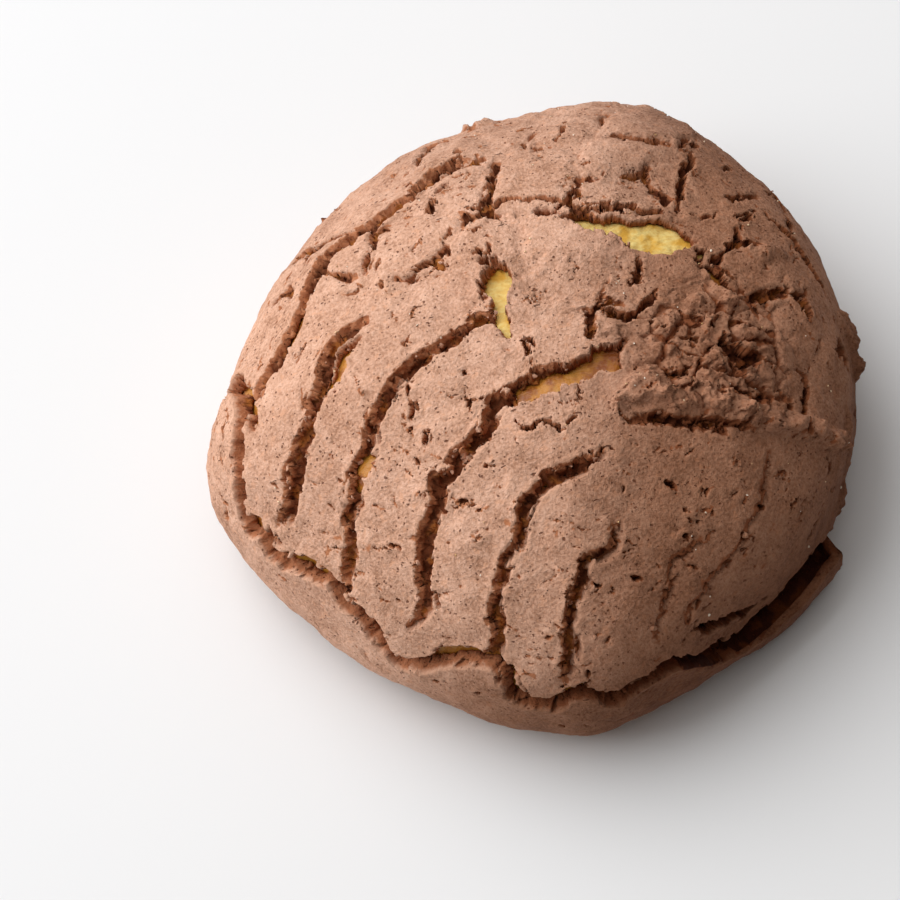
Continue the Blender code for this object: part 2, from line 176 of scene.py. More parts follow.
score = partial(line, GrooveKind.SCORE)
ledge = partial(line, GrooveKind.LEDGE)
window = partial(line, GrooveKind.WINDOW)
peep = partial(line, GrooveKind.PEEP)


SCORE_LINES = tuple(score(*row) for row in (
    (0.65, 2.4, (97, 0.46), (105, 0.47), (110, 0.45), (116, 0.44), (123, 0.45), (128, 0.46),
     (132, 0.49), (136, 0.52), (140, 0.53), (146, 0.53), (150, 0.53), (154, 0.54), (160, 0.54),
     (164, 0.55), (167, 0.56), (170, 0.59), (173, 0.6)),
    (0.7, 2.4, (160, 0.32), (162, 0.34), (164, 0.36), (167, 0.39), (170, 0.4), (175, 0.41),
     (179, 0.42), (182, 0.45), (186, 0.48), (189, 0.51), (191, 0.54), (193, 0.58), (195, 0.61),
     (197, 0.65), (198, 0.7), (198, 0.74)),
    (0.55, 2.5, (154, 0.05), (156, 0.09), (176, 0.14), (183, 0.21), (187, 0.25), (192, 0.3),
     (196, 0.35), (201, 0.41), (204, 0.47), (206, 0.5), (208, 0.53), (210, 0.58), (211, 0.62),
     (213, 0.64), (215, 0.7), (216, 0.74), (217, 0.76)),
    (0.8, 2.8, (331, 0.14), (312, 0.13), (292, 0.1), (264, 0.09), (247, 0.12), (238, 0.14),
     (232, 0.17), (232, 0.2), (233, 0.24), (231, 0.28), (229, 0.31), (228, 0.35), (226, 0.38),
     (228, 0.41), (229, 0.46), (230, 0.51), (231, 0.56), (232, 0.6), (233, 0.65), (235, 0.69),
     (234, 0.74), (233, 0.78)),
    (0.65, 2.6, (282, 0.28), (272, 0.28), (263, 0.3), (258, 0.33), (255, 0.37), (254, 0.42),
     (253, 0.46), (251, 0.52), (250, 0.57), (250, 0.63), (251, 0.7), (251, 0.76), (252, 0.81),
     (254, 0.85)),
    (0.5, 2.3, (280, 0.44), (276, 0.47), (273, 0.47), (271, 0.48), (269, 0.51), (268, 0.55),
     (266, 0.58), (265, 0.64), (265, 0.68), (265, 0.72), (264, 0.79), (264, 0.8)),
    (0.2, 0.7, (297, 0.61), (293, 0.59), (290, 0.6), (288, 0.63), (286, 0.66), (284, 0.69),
     (282, 0.72), (282, 0.77)),
    (0.15, 0.5, (323, 0.58), (314, 0.64), (307, 0.67), (304, 0.69), (300, 0.7), (295, 0.71),
     (294, 0.74), (290, 0.74), (289, 0.78)),
    (0.8, 2.4, (122, 0.74), (106, 0.75), (88, 0.77), (70, 0.77), (54, 0.79), (38, 0.80)),
    (0.7, 2.2, (130, 0.97), (108, 0.96), (88, 0.99), (68, 0.96), (46, 0.99)),
))

CRACK_LINES = tuple(crack(*row) for row in (
    (1.6, 2.6, (103, 0.29), (100, 0.26), (94, 0.27), (90, 0.27), (87, 0.26)),
    (1.44, 2.6, (86, 0.26), (78, 0.25), (71, 0.24)),
    (0.75, 2.2, (68, 0.23), (64, 0.21), (66, 0.24), (65, 0.29)),
    (1.76, 3, (62, 0.23), (56, 0.24), (50, 0.26), (43, 0.29), (36, 0.34)),
    (0.75, 2, (34, 0.35), (31, 0.39)),
    (0.75, 2, (30, 0.39), (29, 0.42), (30, 0.44)),
    (1.44, 2.4, (26, 0.47), (25, 0.49), (26, 0.56)),
    (0.53, 1.8, (24, 0.48), (22, 0.46)),
    (1, 2.4, (18, 0.39), (18, 0.42), (18, 0.46)),
    (1.44, 2.4, (47, 0.55), (44, 0.49), (43, 0.45), (40, 0.4), (36, 0.35)),
    (1.44, 2.6, (39, 0.64), (38, 0.6)),
    (1, 2.4, (12, 0.35), (6, 0.37)),
    (0.75, 2.2, (94, 0.38), (96, 0.33)),
    (0.88, 2.2, (75, 0.53), (74, 0.47), (76, 0.43)),
    (0.42, 1.5, (83, 0.51), (83, 0.45), (85, 0.42)),
    (0.53, 1.7, (61, 0.33), (60, 0.31)),
    (0.32, 1.2, (55, 0.33), (53, 0.32), (50, 0.33)),
    (0.42, 1.4, (56, 0.46), (55, 0.44)),
    (1, 2.2, (97, 0.55), (98, 0.49), (98, 0.45)),
    (1.44, 2.4, (111, 0.38), (115, 0.33)),
    (0.88, 2.4, (115, 0.27), (121, 0.24), (126, 0.21)),
    (0.88, 2, (134, 0.25), (131, 0.24), (126, 0.22)),
    (0.53, 1.8, (102, 0.23), (106, 0.23), (112, 0.24)),
    (0.75, 2, (105, 0.2), (106, 0.18), (110, 0.15)),
    (0.88, 2.2, (116, 0.19), (114, 0.17), (110, 0.16)),
    (1.44, 2.4, (26, 0.21), (22, 0.2), (18, 0.18), (13, 0.16)),
    (1.76, 2.4, (8, 0.21), (2, 0.19), (356, 0.17), (354, 0.14), (358, 0.11), (10, 0.1)),
    (1.44, 2.2, (354, 0.09), (339, 0.08), (328, 0.09)),
    (0.53, 1.5, (52, 0.1), (48, 0.1)),
    (0.32, 0.9, (152, 0.06), (119, 0.04), (77, 0.04), (56, 0.05)),
    (0.88, 2, (1, 0.43), (0, 0.47)),
    (0.42, 1.5, (127, 0.39), (131, 0.37)),
    (0.42, 1.5, (136, 0.37), (140, 0.36), (144, 0.35)),
    (0.53, 1.6, (141, 0.34), (146, 0.32), (148, 0.29)),
    (0.42, 1.3, (150, 0.42), (149, 0.38), (146, 0.38), (148, 0.35)),
    (0.75, 1.8, (136, 0.28), (132, 0.24)),
    (0.42, 1.4, (138, 0.24), (143, 0.25)),
    (0.88, 1.9, (201, 0.03), (237, 0.04), (246, 0.06), (257, 0.08)),
    (0.88, 2.2, (170, 0.23), (173, 0.22), (177, 0.21)),
    (0.53, 2, (190, 0.24), (193, 0.25), (198, 0.26)),
    (0.75, 2.2, (199, 0.26), (203, 0.28), (205, 0.3)),
    (0.88, 2.6, (211, 0.29), (214, 0.31), (217, 0.33)),
    (0.53, 1.8, (216, 0.36), (219, 0.36)),
    (0.42, 1.4, (204, 0.31), (207, 0.32)),
    (0.53, 1.9, (214, 0.18), (219, 0.19), (222, 0.21), (219, 0.24), (216, 0.26)),
    (0.37, 1.6, (218, 0.19), (226, 0.17)),
    (0.37, 1.2, (201, 0.15), (206, 0.16)),
    (0.32, 1.2, (232, 0.2), (232, 0.23)),
    (1, 3, (247, 0.19), (255, 0.2), (262, 0.18), (268, 0.2), (275, 0.19), (285, 0.17), (287, 0.14)),
    (0.53, 1.8, (237, 0.3), (244, 0.3)),
    (0.53, 1.8, (249, 0.32), (254, 0.32)),
    (0.53, 1.6, (235, 0.4), (238, 0.39)),
    (0.32, 1.2, (240, 0.41), (244, 0.39)),
    (0.75, 2, (242, 0.46), (245, 0.45), (246, 0.43)),
    (0.42, 1.5, (248, 0.45), (251, 0.45)),
    (0.53, 2, (275, 0.26), (283, 0.27), (287, 0.29), (293, 0.3), (298, 0.31)),
    (0.75, 1.7, (284, 0.37), (286, 0.37), (288, 0.38)),
    (0.37, 1.4, (301, 0.22), (298, 0.24), (298, 0.28)),
    (0.42, 1.8, (269, 0.54), (272, 0.55), (274, 0.55), (275, 0.58)),
    (0.53, 1.6, (279, 0.55), (282, 0.58)),
    (0.32, 1.3, (276, 0.45), (282, 0.48), (285, 0.5)),
    (0.42, 1.4, (261, 0.44), (263, 0.45)),
    (0.37, 1.4, (264, 0.5), (265, 0.49), (266, 0.51)),
    (0.42, 1.6, (260, 0.66), (261, 0.67), (264, 0.66), (264, 0.65), (262, 0.64)),
    (0.42, 1.4, (254, 0.67), (255, 0.69)),
    (0.53, 1.5, (246, 0.61), (246, 0.6)),
    (0.32, 1.1, (242, 0.59), (243, 0.59)),
    (0.42, 1.6, (247, 0.61), (249, 0.6)),
    (0.53, 1.6, (248, 0.94), (249, 0.91)),
    (0.75, 2.2, (240, 0.82), (241, 0.81), (241, 0.83)),
    (0.75, 2.2, (266, 0.77), (268, 0.78), (268, 0.8)),
    (1, 2.6, (266, 0.84), (268, 0.81)),
    (0.53, 1.6, (263, 0.8), (264, 0.78)),
    (0.42, 1.6, (180, 0.53), (182, 0.51)),
    (0.53, 2, (176, 0.84), (180, 0.78), (183, 0.72)),
    (0.42, 1.6, (190, 0.64), (194, 0.64), (197, 0.65)),
    (0.88, 2.4, (178, 0.69), (181, 0.68)),
    (1.92, 2.6, (166, 0.69), (170, 0.68), (174, 0.65)),
    (0.32, 1.1, (176, 0.27), (178, 0.26)),
    (0.37, 1.3, (195, 0.34), (197, 0.35)),
    (0.47, 1.8, (221, 0.43), (226, 0.41)),
    (0.37, 1.4, (198, 0.4), (202, 0.42)),
    (0.42, 1.8, (218, 0.62), (222, 0.59), (224, 0.58), (227, 0.59), (230, 0.6)),
    (0.32, 1.2, (158, 0.26), (162, 0.25)),
    (2.56, 3.2, (350, 0.35, 0.5), (344, 0.35, 0.8), (342, 0.38, 1.4), (341, 0.42, 1.6),
     (343, 0.48, 0.8)),
    (0.53, 2, (349, 0.31), (342, 0.3), (339, 0.32)),
    (0.53, 2, (342, 0.24), (343, 0.28), (338, 0.28)),
    (0.42, 1.6, (354, 0.32), (348, 0.31)),
    (0.42, 1.6, (354, 0.36), (352, 0.37)),
    (0.53, 2, (344, 0.17), (348, 0.2), (348, 0.23)),
    (1, 2.2, (326, 0.25), (331, 0.29)),
    (0.42, 1.6, (340, 0.33), (340, 0.36)),
    (0.53, 1.8, (329, 0.23), (330, 0.26)),
    (0.42, 1.8, (320, 0.21), (325, 0.25), (326, 0.3)),
    (0.75, 2, (333, 0.43), (333, 0.49), (333, 0.52)),
    (0.88, 2.4, (336, 0.51), (336, 0.53)),
    (0.75, 2, (334, 0.54), (335, 0.59)),
    (0.88, 2.2, (296, 0.41), (297, 0.43), (298, 0.46)),
    (0.42, 1.6, (304, 0.37), (303, 0.39)),
    (0.37, 1.4, (307, 0.46), (304, 0.47), (301, 0.47)),
    (0.53, 1.8, (306, 0.5), (303, 0.52)),
    (0.88, 2.2, (298, 0.51), (297, 0.55)),
    (0.53, 1.8, (294, 0.55), (295, 0.58)),
    (0.75, 2, (312, 0.65), (314, 0.66)),
    (0.42, 1.6, (315, 0.73), (318, 0.73), (321, 0.74)),
    (0.37, 1.4, (320, 0.64), (324, 0.66)),
    (0.37, 1.4, (312, 0.48), (315, 0.47)),
    (0.37, 1.3, (302, 0.56), (302, 0.58)),
    (1.44, 2.6, (332, 0.79), (331, 0.82)),
    (0.53, 1.8, (325, 0.68), (325, 0.69)),
    (0.53, 1.8, (333, 0.76), (333, 0.78)),
    (0.37, 1.4, (326, 0.81), (330, 0.83)),
    (0.53, 1.8, (304, 0.68), (306, 0.67)),
    (0.42, 1.4, (306, 0.78), (306, 0.81)),
    (0.32, 1.2, (292, 0.63), (294, 0.66)),
    (1.44, 1.9, (26, 0.59, 0.4), (22, 0.6, 0.9), (18, 0.63, 0.9), (14, 0.66, 0.9), (10, 0.69, 0.9),
     (7, 0.72, 0.6)),
    (1.76, 1.8, (4, 0.55), (1, 0.58), (357, 0.6)),
    (2.08, 3.2, (357, 0.73, 0.7), (354, 0.75, 1.3), (352, 0.78, 0.8)),
    (2.24, 3.2, (289, 0.81, 0.6), (292, 0.84, 1.3), (294, 0.86, 0.8), (299, 0.91, 1.4),
     (302, 0.94, 0.8), (306, 0.96, 0.4)),
    (0.53, 1.8, (289, 0.8), (291, 0.76), (293, 0.76)),
))

LEDGE_LINES = (
    ledge(0.4, 2.4, (299, 0.273, 0.2), (308, 0.305, 0.4), (314, 0.36, 0.45), (320, 0.42, 0.3),
          (325, 0.49, 0.1)),
    ledge(0.3, 1.8, (328, 0.378, 0.3), (331, 0.448, 0.3), (336, 0.56, 0.1)),
    ledge(0.5, 2.4, (357, 0.735, 0.3), (355, 0.775, 0.6), (352, 0.755, 0.3)),
)

GAP_LINES = (
    window(3.2, 5, (69, 0.2, 0.7), (58, 0.2, 1.2), (48, 0.215, 2), (38, 0.235, 2.9), (32, 0.27, 3.5),
           (26, 0.31, 2.7), (23, 0.34, 0.9)),
    window(2.3, 5, (108, 0.14, 2), (114, 0.11, 2.3), (124, 0.09, 2), (138, 0.07, 1.2), (158, 0.05, 1.1),
           (187, 0.04, 0.7)),
    peep(2.3, 4.9, (248, 0.13, 0.9), (260, 0.11, 0.6), (273, 0.1, 1.6), (284, 0.105, 0.8), (296, 0.112, 2.1),
         (308, 0.12, 1.5), (318, 0.127, 2.5), (330, 0.135, 1), (338, 0.14, 1.5)),
    peep(1, 4.8, (167, 0.32, 0.5), (169, 0.34, 0.9), (172, 0.36, 1), (175, 0.37, 1), (179, 0.39, 0.9),
         (182, 0.41, 0.4)),
    peep(0.6, 4.8, (205, 0.44), (205, 0.47), (206, 0.49)),
    peep(0.6, 4.8, (153, 0.54), (157, 0.54), (161, 0.54)),
    peep(0.8, 4.8, (172, 0.63), (176, 0.61), (180, 0.62)),
    peep(0.8, 4.8, (196, 0.76), (198, 0.78), (201, 0.8)),
    peep(0.5, 4.8, (15, 0.33), (12, 0.34), (6, 0.37), (2, 0.39)),
    peep(0.9, 4.6, (20, 0.33), (17, 0.34)),
    peep(0.4, 4.6, (108, 0.39), (106, 0.39)),
    peep(0.5, 4.4, (80, 0.22), (71, 0.21)),
    peep(0.7, 4.6, (116, 0.16), (115, 0.14)),
)

BULGES = tuple(bulge(*row) for row in (
    (2.2, 2.4, (302, 0.22, 1.2), (315, 0.233, 2.4), (319, 0.275, 2.6), (321, 0.33, 2.2),
     (324, 0.378, 2.2), (327, 0.453, 1.8), (330, 0.547, 1.6), (334, 0.672, 1.5), (338, 0.845, 1)),
    (1.3, 1.3, (335, 0.31), (335, 0.33)),
    (1.2, 1.1, (347, 0.24), (347, 0.26)),
    (1.4, 1.2, (0, 0.36), (1, 0.38)),
    (1.1, 1, (0, 0.28), (1, 0.29)),
    (1.2, 1.2, (338, 0.22), (338, 0.235)),
    (1.6, 1, (326, 0.4), (328, 0.45)),
    (1.5, 1.6, (334, 0.31), (334, 0.34)),
    (1.8, 0.9, (317, 0.24), (315, 0.26)),
    (1.2, 1.3, (337, 0.42), (336, 0.43)),
    (1.5, 1.1, (14, 0.48), (14, 0.55)),
    (1.4, 1.2, (353, 0.27), (350, 0.3)),
    (1.4, 0.9, (343, 0.1), (342, 0.12)),
    (2.4, 1.6, (3, 0.84), (1, 0.88), (358, 0.92)),
    (1.8, 1.5, (92, 0.72), (89, 0.72)),
    (2, 0.9, (343, 0.87), (342, 0.91)),
    (1.8, 1, (336, 1.05), (335, 1.06)),
    (1.5, 0.7, (338, 0.94), (339, 0.98)),
    (2, 1, (348, 0.38), (348, 0.44)),
))

TEAR_LINE = Groove(
    GrooveKind.TEAR,
    0.0010,
    0.0048,
    (
        (160, 1.50, 0.78), (162, 1.20, 0.78), (163, 0.92, 0.78), (166, 0.72, 0.84), (172, 0.66, 0.84),
        (179, 0.68, 0.66), (185, 0.72, 0.57), (189, 0.79, 0.57), (192, 0.84, 0.63), (195, 0.80, 0.63),
        (200, 0.85, 0.63), (206, 0.81, 0.63), (213, 0.78, 0.57), (218, 0.83, 0.63), (224, 0.85, 0.82),
        (229, 0.92, 0.63), (236, 0.91, 0.57), (242, 0.83, 0.57), (249, 0.79, 0.57), (253, 0.82, 0.57),
        (256, 0.90, 0.63), (261, 0.91, 0.63), (266, 0.86, 0.57), (273, 0.90, 0.57), (283, 0.88, 0.57),
        (289, 0.93, 0.63), (296, 1.01, 1.1), (303, 1.06, 1.4), (311, 1.08, 1.7), (319, 1.07, 2.1),
        (326, 1.13, 1.9), (329, 1.28, 1.5), (330, 1.50, 1.3),
    ),
)


def smooth_step(value: np.ndarray) -> np.ndarray:
    """Ease from 0 to 1 while value goes from 0 to 1."""
    held = np.clip(value, 0.0, 1.0)
    return held * held * (3.0 - 2.0 * held)


def catmull_rom(a: np.ndarray, b: np.ndarray, c: np.ndarray, d: np.ndarray,
                share: np.ndarray | float) -> np.ndarray:
    """Smooth curve through b and c, steered by a and d.

    Args:
        a: value before b.
        b: value at share 0.
        c: value at share 1.
        d: value after c.
        share: place between b and c.

    Returns:
        The value at share.
    """
    cubic = 3.0 * b - a - 3.0 * c + d
    square = 2.0 * a - 5.0 * b + 4.0 * c - d
    return 0.5 * (2.0 * b + (c - a) * share + square * share ** 2 + cubic * share ** 3)


class Noise:
    """Smooth seeded noise over points in space.

    The origin lies START cells into the pattern, and the three parts of a
    shift are read APART cells from one another.
    """

    TABLE = 256
    START = 37.0
    APART = 3.1

    def __init__(self, seed: int) -> None:
        """Draw the table of slopes.

        Args:
            seed: number that fixes the pattern.
        """
        source = np.random.default_rng(seed)
        self.order = source.permutation(self.TABLE)
        slopes = source.normal(size=(self.TABLE, 3))
        self.slopes = slopes / np.linalg.norm(slopes, axis=1, keepdims=True)

    def at(self, points: np.ndarray, size: float) -> np.ndarray:
        """Value at each point, about -0.6 to 0.6.

        Args:
            points: places in metres.
            size: width of one swell in metres.

        Returns:
            One value for each point.
        """
        scaled = points / size + self.START
        cell = np.floor(scaled).astype(np.int64)
        local = scaled - cell
        fade = local ** 3 * (local * (local * 6.0 - 15.0) + 10.0)
        total = np.zeros(len(points))
        wrap = self.TABLE - 1
        for corner in itertools.product((0, 1), repeat=3):
            offset = np.array(corner)
            spot = cell + offset
            first = self.order[spot[:, 0] & wrap]
            second = self.order[(first + spot[:, 1]) & wrap]
            slope = self.slopes[self.order[(second + spot[:, 2]) & wrap]]
            value = ((local - offset) * slope).sum(axis=1)
            weight = np.where(offset == 1, fade, 1.0 - fade).prod(axis=1)
            total += weight * value
        return total

    def shift(self, points: np.ndarray, size: float, amount: float) -> np.ndarray:
        """Offset that bends points to and fro.

        Args:
            points: places in metres.
            size: width of one bend in metres.
            amount: strength of the bend in metres.

        Returns:
            One offset for each point.
        """
        parts = [self.at(points + self.APART * size * (axis + 1), size) for axis in range(3)]
        return amount * np.stack(parts, axis=1)


class Cells:
    """Scattered centres in space, for chips and clumps.

    MIX turns a cell's three numbers into a place in the table, and FAR is
    farther than any centre.
    """

    TABLE = 4096
    MIX = (73, 179, 283)
    FAR = 9.0

    def __init__(self, seed: int, flat: bool = False) -> None:
        """Draw the place of each centre in its cell.

        Args:
            seed: number that fixes the pattern.
            flat: whether the centres of a layer lie in one plane.
        """
        draw = np.random.default_rng(seed)
        self.jitter = draw.random((self.TABLE, 3)) * (1.0, 1.0, 0.0 if flat else 1.0)
        self.push = draw.normal(size=(self.TABLE, 3))

    def nearest_two(self, points: np.ndarray, size: float) -> tuple[np.ndarray, np.ndarray, np.ndarray]:
        """Distances to the two nearest centres, in cell sizes.

        Args:
            points: places in metres.
            size: width of a cell in metres.

        Returns:
            The nearest and the second nearest distance, and the nearest centre's number.
        """
        cell = np.floor(points / size).astype(np.int64)
        first = np.full(len(points), self.FAR)
        second = np.full(len(points), self.FAR)
        owner = np.zeros(len(points), dtype=np.int64)
        for corner in itertools.product((-1, 0, 1), repeat=3):
            other = cell + np.array(corner)
            mixed = other[:, 0] * self.MIX[0] + other[:, 1] * self.MIX[1] + other[:, 2] * self.MIX[2]
            index = mixed & (self.TABLE - 1)
            delta = points / size - other - self.jitter[index]
            away = np.sqrt((delta ** 2).sum(axis=1))
            second = np.minimum(second, np.maximum(first, away))
            owner = np.where(away < first, index, owner)
            first = np.minimum(first, away)
        return first, second, owner

    def chips(self, points: np.ndarray, size: float, amount: float) -> np.ndarray:
        """One offset for all of a cell, so that lines break at its border.

        Args:
            points: places in metres.
            size: width of a cell in metres.
            amount: strength of the offset in metres.

        Returns:
            One offset for each point.
        """
        _, _, owner = self.nearest_two(points, size)
        return self.push[owner] * amount


class PointBins:
    """Points sorted into cubes, so that those near a line are quick to find."""

    def __init__(self, points: np.ndarray, size: float = 0.003) -> None:
        """Sort the points.

        Args:
            points: places in metres.
            size: width of a cube in metres.
        """
        self.points = points
        self.size = size
        self.origin = points.min(axis=0)
        cells = ((points - self.origin) / size).astype(np.int64)
        self.counts = cells.max(axis=0) + 1
        codes = (cells[:, 0] * self.counts[1] + cells[:, 1]) * self.counts[2] + cells[:, 2]
        self.order = np.argsort(codes, kind="stable")
        self.codes = codes[self.order]

    def near(self, low: np.ndarray, high: np.ndarray) -> np.ndarray:
        """Indices of the points in a box and a little beside it.

        Args:
            low: the box's low corner.
            high: the box's high corner.

        Returns:
            Indices into the points.
        """
        first = np.maximum(((low - self.origin) / self.size).astype(int), 0)
        last = np.minimum(((high - self.origin) / self.size).astype(int), self.counts - 1)
        found = [np.zeros(0, dtype=np.int64)]
        for across in range(first[0], last[0] + 1):
            for along in range(first[1], last[1] + 1):
                row = (across * self.counts[1] + along) * self.counts[2]
                start = np.searchsorted(self.codes, row + first[2], "left")
                stop = np.searchsorted(self.codes, row + last[2], "right")
                found.append(self.order[start:stop])
        return np.concatenate(found)


@dataclass(frozen=True)
class DomeForm:
    """Smooth outer form of the whole concha.

    A step of 1 in reach is about reach_length metres on it. Normals are
    measured over slope_step, inside slope_limits of reach, and turn upright
    within flat_reach of the crown.
    """

    height: float = 0.052
    girth_height: float = 0.015
    base_share: float = 0.80
    crown_power: float = 2.25
    lean_x: float = 0.0040
    lean_y: float = 0.0004
    centre_x: float = 0.00157
    centre_y: float = -0.00244
    plan_radii: tuple[float, ...] = (
        0.0570, 0.0608, 0.0656, 0.0616, 0.0597, 0.0575, 0.0601, 0.0531, 0.0529, 0.0580, 0.0535, 0.0555,
    )
    reach_length: float = 0.085
    slope_step: float = 0.004
    slope_limits: tuple[float, float] = (0.012, 1.47)
    flat_reach: float = 0.05

    def plan_radius(self, bearing: np.ndarray) -> np.ndarray:
        """Radius of the girth at each bearing in radians."""
        radii = np.array(self.plan_radii)
        count = len(radii)
        place = (bearing / (2.0 * math.pi) * count) % count
        index = np.floor(place).astype(int)
        share = place - index
        near = [radii[(index + step) % count] for step in (-1, 0, 1, 2)]
        return catmull_rom(*near, share)

    def points(self, bearing: np.ndarray, reach: np.ndarray) -> np.ndarray:
        """Places on the smooth form.

        Args:
            bearing: angle about +Z from +X, in radians.
            reach: 0 at the crown, 1 at the girth, BASE_REACH at the base.

        Returns:
            One place for each pair.
        """
        upper = np.clip(reach, 0.0, 1.0) * math.pi / 2.0
        lower = np.clip(reach - 1.0, 0.0, BASE_REACH - 1.0) * math.pi
        power = 2.0 / self.crown_power
        above = reach <= 1.0
        tuck = self.base_share + (1.0 - self.base_share) * np.cos(lower)
        out = np.where(above, np.sin(upper) ** power, tuck)
        rise = self.height - self.girth_height
        crown = self.girth_height + rise * np.abs(np.cos(upper)) ** power
        height = np.where(above, crown, self.girth_height * (1.0 - np.sin(lower)))
        radius = self.plan_radius(bearing) * out
        lean = np.clip((height - self.girth_height) / rise, 0.0, 1.0)
        across = radius * np.cos(bearing) + self.lean_x * lean + self.centre_x
        along = radius * np.sin(bearing) + self.lean_y * lean + self.centre_y
        return np.stack([across, along, height], axis=-1)

    def normals(self, bearing: np.ndarray, reach: np.ndarray) -> np.ndarray:
        """Outward directions of the smooth form.

        Args:
            bearing: angle about +Z from +X, in radians.
            reach: 0 at the crown, 1 at the girth, BASE_REACH at the base.

        Returns:
            One unit vector for each pair.
        """
        inner = np.clip(reach, *self.slope_limits)
        step = self.slope_step
        turn = self.points(bearing + step, inner) - self.points(bearing - step, inner)
        fall = self.points(bearing, inner + step) - self.points(bearing, inner - step)
        normal = np.cross(fall, turn)
        normal /= np.linalg.norm(normal, axis=-1, keepdims=True)
        share = smooth_step((self.flat_reach - reach) / self.flat_reach)[..., None]
        normal = normal * (1.0 - share) + np.array([0.0, 0.0, 1.0]) * share
        return normal / np.linalg.norm(normal, axis=-1, keepdims=True)

    def crown(self) -> np.ndarray:
        """The highest place."""
        return self.points(np.zeros(1), np.zeros(1))[0]


class Track:
    """A groove's line on the dome, sampled about every STEP metres.

    Reading it takes a STRETCH of samples at a time, and points in blocks of
    BLOCK or a little more.
    """

    STEP = 0.00035
    FEWEST_STEPS = 3
    STRETCH = 16
    BLOCK = 20000

    def __init__(self, form: DomeForm, groove: Groove) -> None:
        """Sample the line.

        Args:
            form: the dome that the line lies on.
            groove: the line's knots and sizes.
        """
        flat = [self.on_chart(row, groove.half_width) for row in groove.knots]
        rows = np.array([flat[0]] + flat + [flat[-1]])
        found = []
        for index in range(1, len(rows) - 2):
            length = float(np.linalg.norm(rows[index + 1][:2] - rows[index][:2])) * form.reach_length
            steps = max(self.FEWEST_STEPS, int(length / self.STEP))
            near = rows[index - 1:index + 3]
            found += [catmull_rom(*near, step / steps) for step in range(steps)]
        found.append(rows[-1])
        chart = np.array(found)
        bearing = np.arctan2(chart[:, 1], chart[:, 0])
        reach = np.hypot(chart[:, 0], chart[:, 1])
        self.points = form.points(bearing, reach)
        self.half = chart[:, 2]
        heading = np.gradient(self.points, axis=0)
        heading /= np.linalg.norm(heading, axis=1, keepdims=True) + 1e-12
        self.left = np.cross(form.normals(bearing, reach), heading)
        run = np.linalg.norm(np.diff(self.points, axis=0), axis=1)
        self.along = np.concatenate([[0.0], np.cumsum(run)])

    @staticmethod
    def on_chart(row: Sequence[float], half_width: float) -> tuple[float, float, float]:
        """A knot as two flat coordinates and a half width."""
        turn = math.radians(row[0])
        half = row[2] / 1000.0 if len(row) > 2 else half_width
        return row[1] * math.cos(turn), row[1] * math.sin(turn), half

    def read(self, bins: PointBins, limit: float) -> tuple[np.ndarray, np.ndarray, np.ndarray, np.ndarray]:
        """Where points lie beside the line.

        Args:
            bins: the sorted points.
            limit: how far from the line points still count.

        Returns:
            Indices of the near points, their distance, side and sample.
        """
        square = np.full(len(bins.points), np.inf)
        sample = np.zeros(len(bins.points), dtype=np.int64)
        seen = [np.zeros(0, dtype=np.int64)]
        for start in range(0, len(self.points), self.STRETCH):
            part = self.points[start:start + self.STRETCH + 1]
            near = bins.near(part.min(axis=0) - limit, part.max(axis=0) + limit)
            if len(near) == 0:
                continue
            seen.append(near)
            for block in np.array_split(near, max(1, len(near) // self.BLOCK)):
                delta = bins.points[block][:, None, :] - part[None, :, :]
                found = (delta ** 2).sum(axis=2)
                best = found.argmin(axis=1)
                value = found[np.arange(len(block)), best]
                closer = value < square[block]
                square[block[closer]] = value[closer]
                sample[block[closer]] = best[closer] + start
        near = np.unique(np.concatenate(seen))
        near = near[square[near] < limit ** 2]
        chosen = sample[near]
        side = ((bins.points[near] - self.points[chosen]) * self.left[chosen]).sum(axis=1)
        return near, np.sqrt(square[near]), side, chosen


@dataclass
class SurfaceReading:
    """What the paste is like at each point of the dome."""

    height: np.ndarray
    hollow: np.ndarray
    lip: np.ndarray
    rough: np.ndarray


def spread_out(draw: np.random.Generator, sizes: tuple[float, float]) -> float:
    """A random value from the first size up to the sum of both."""
    return sizes[0] + sizes[1] * draw.random()


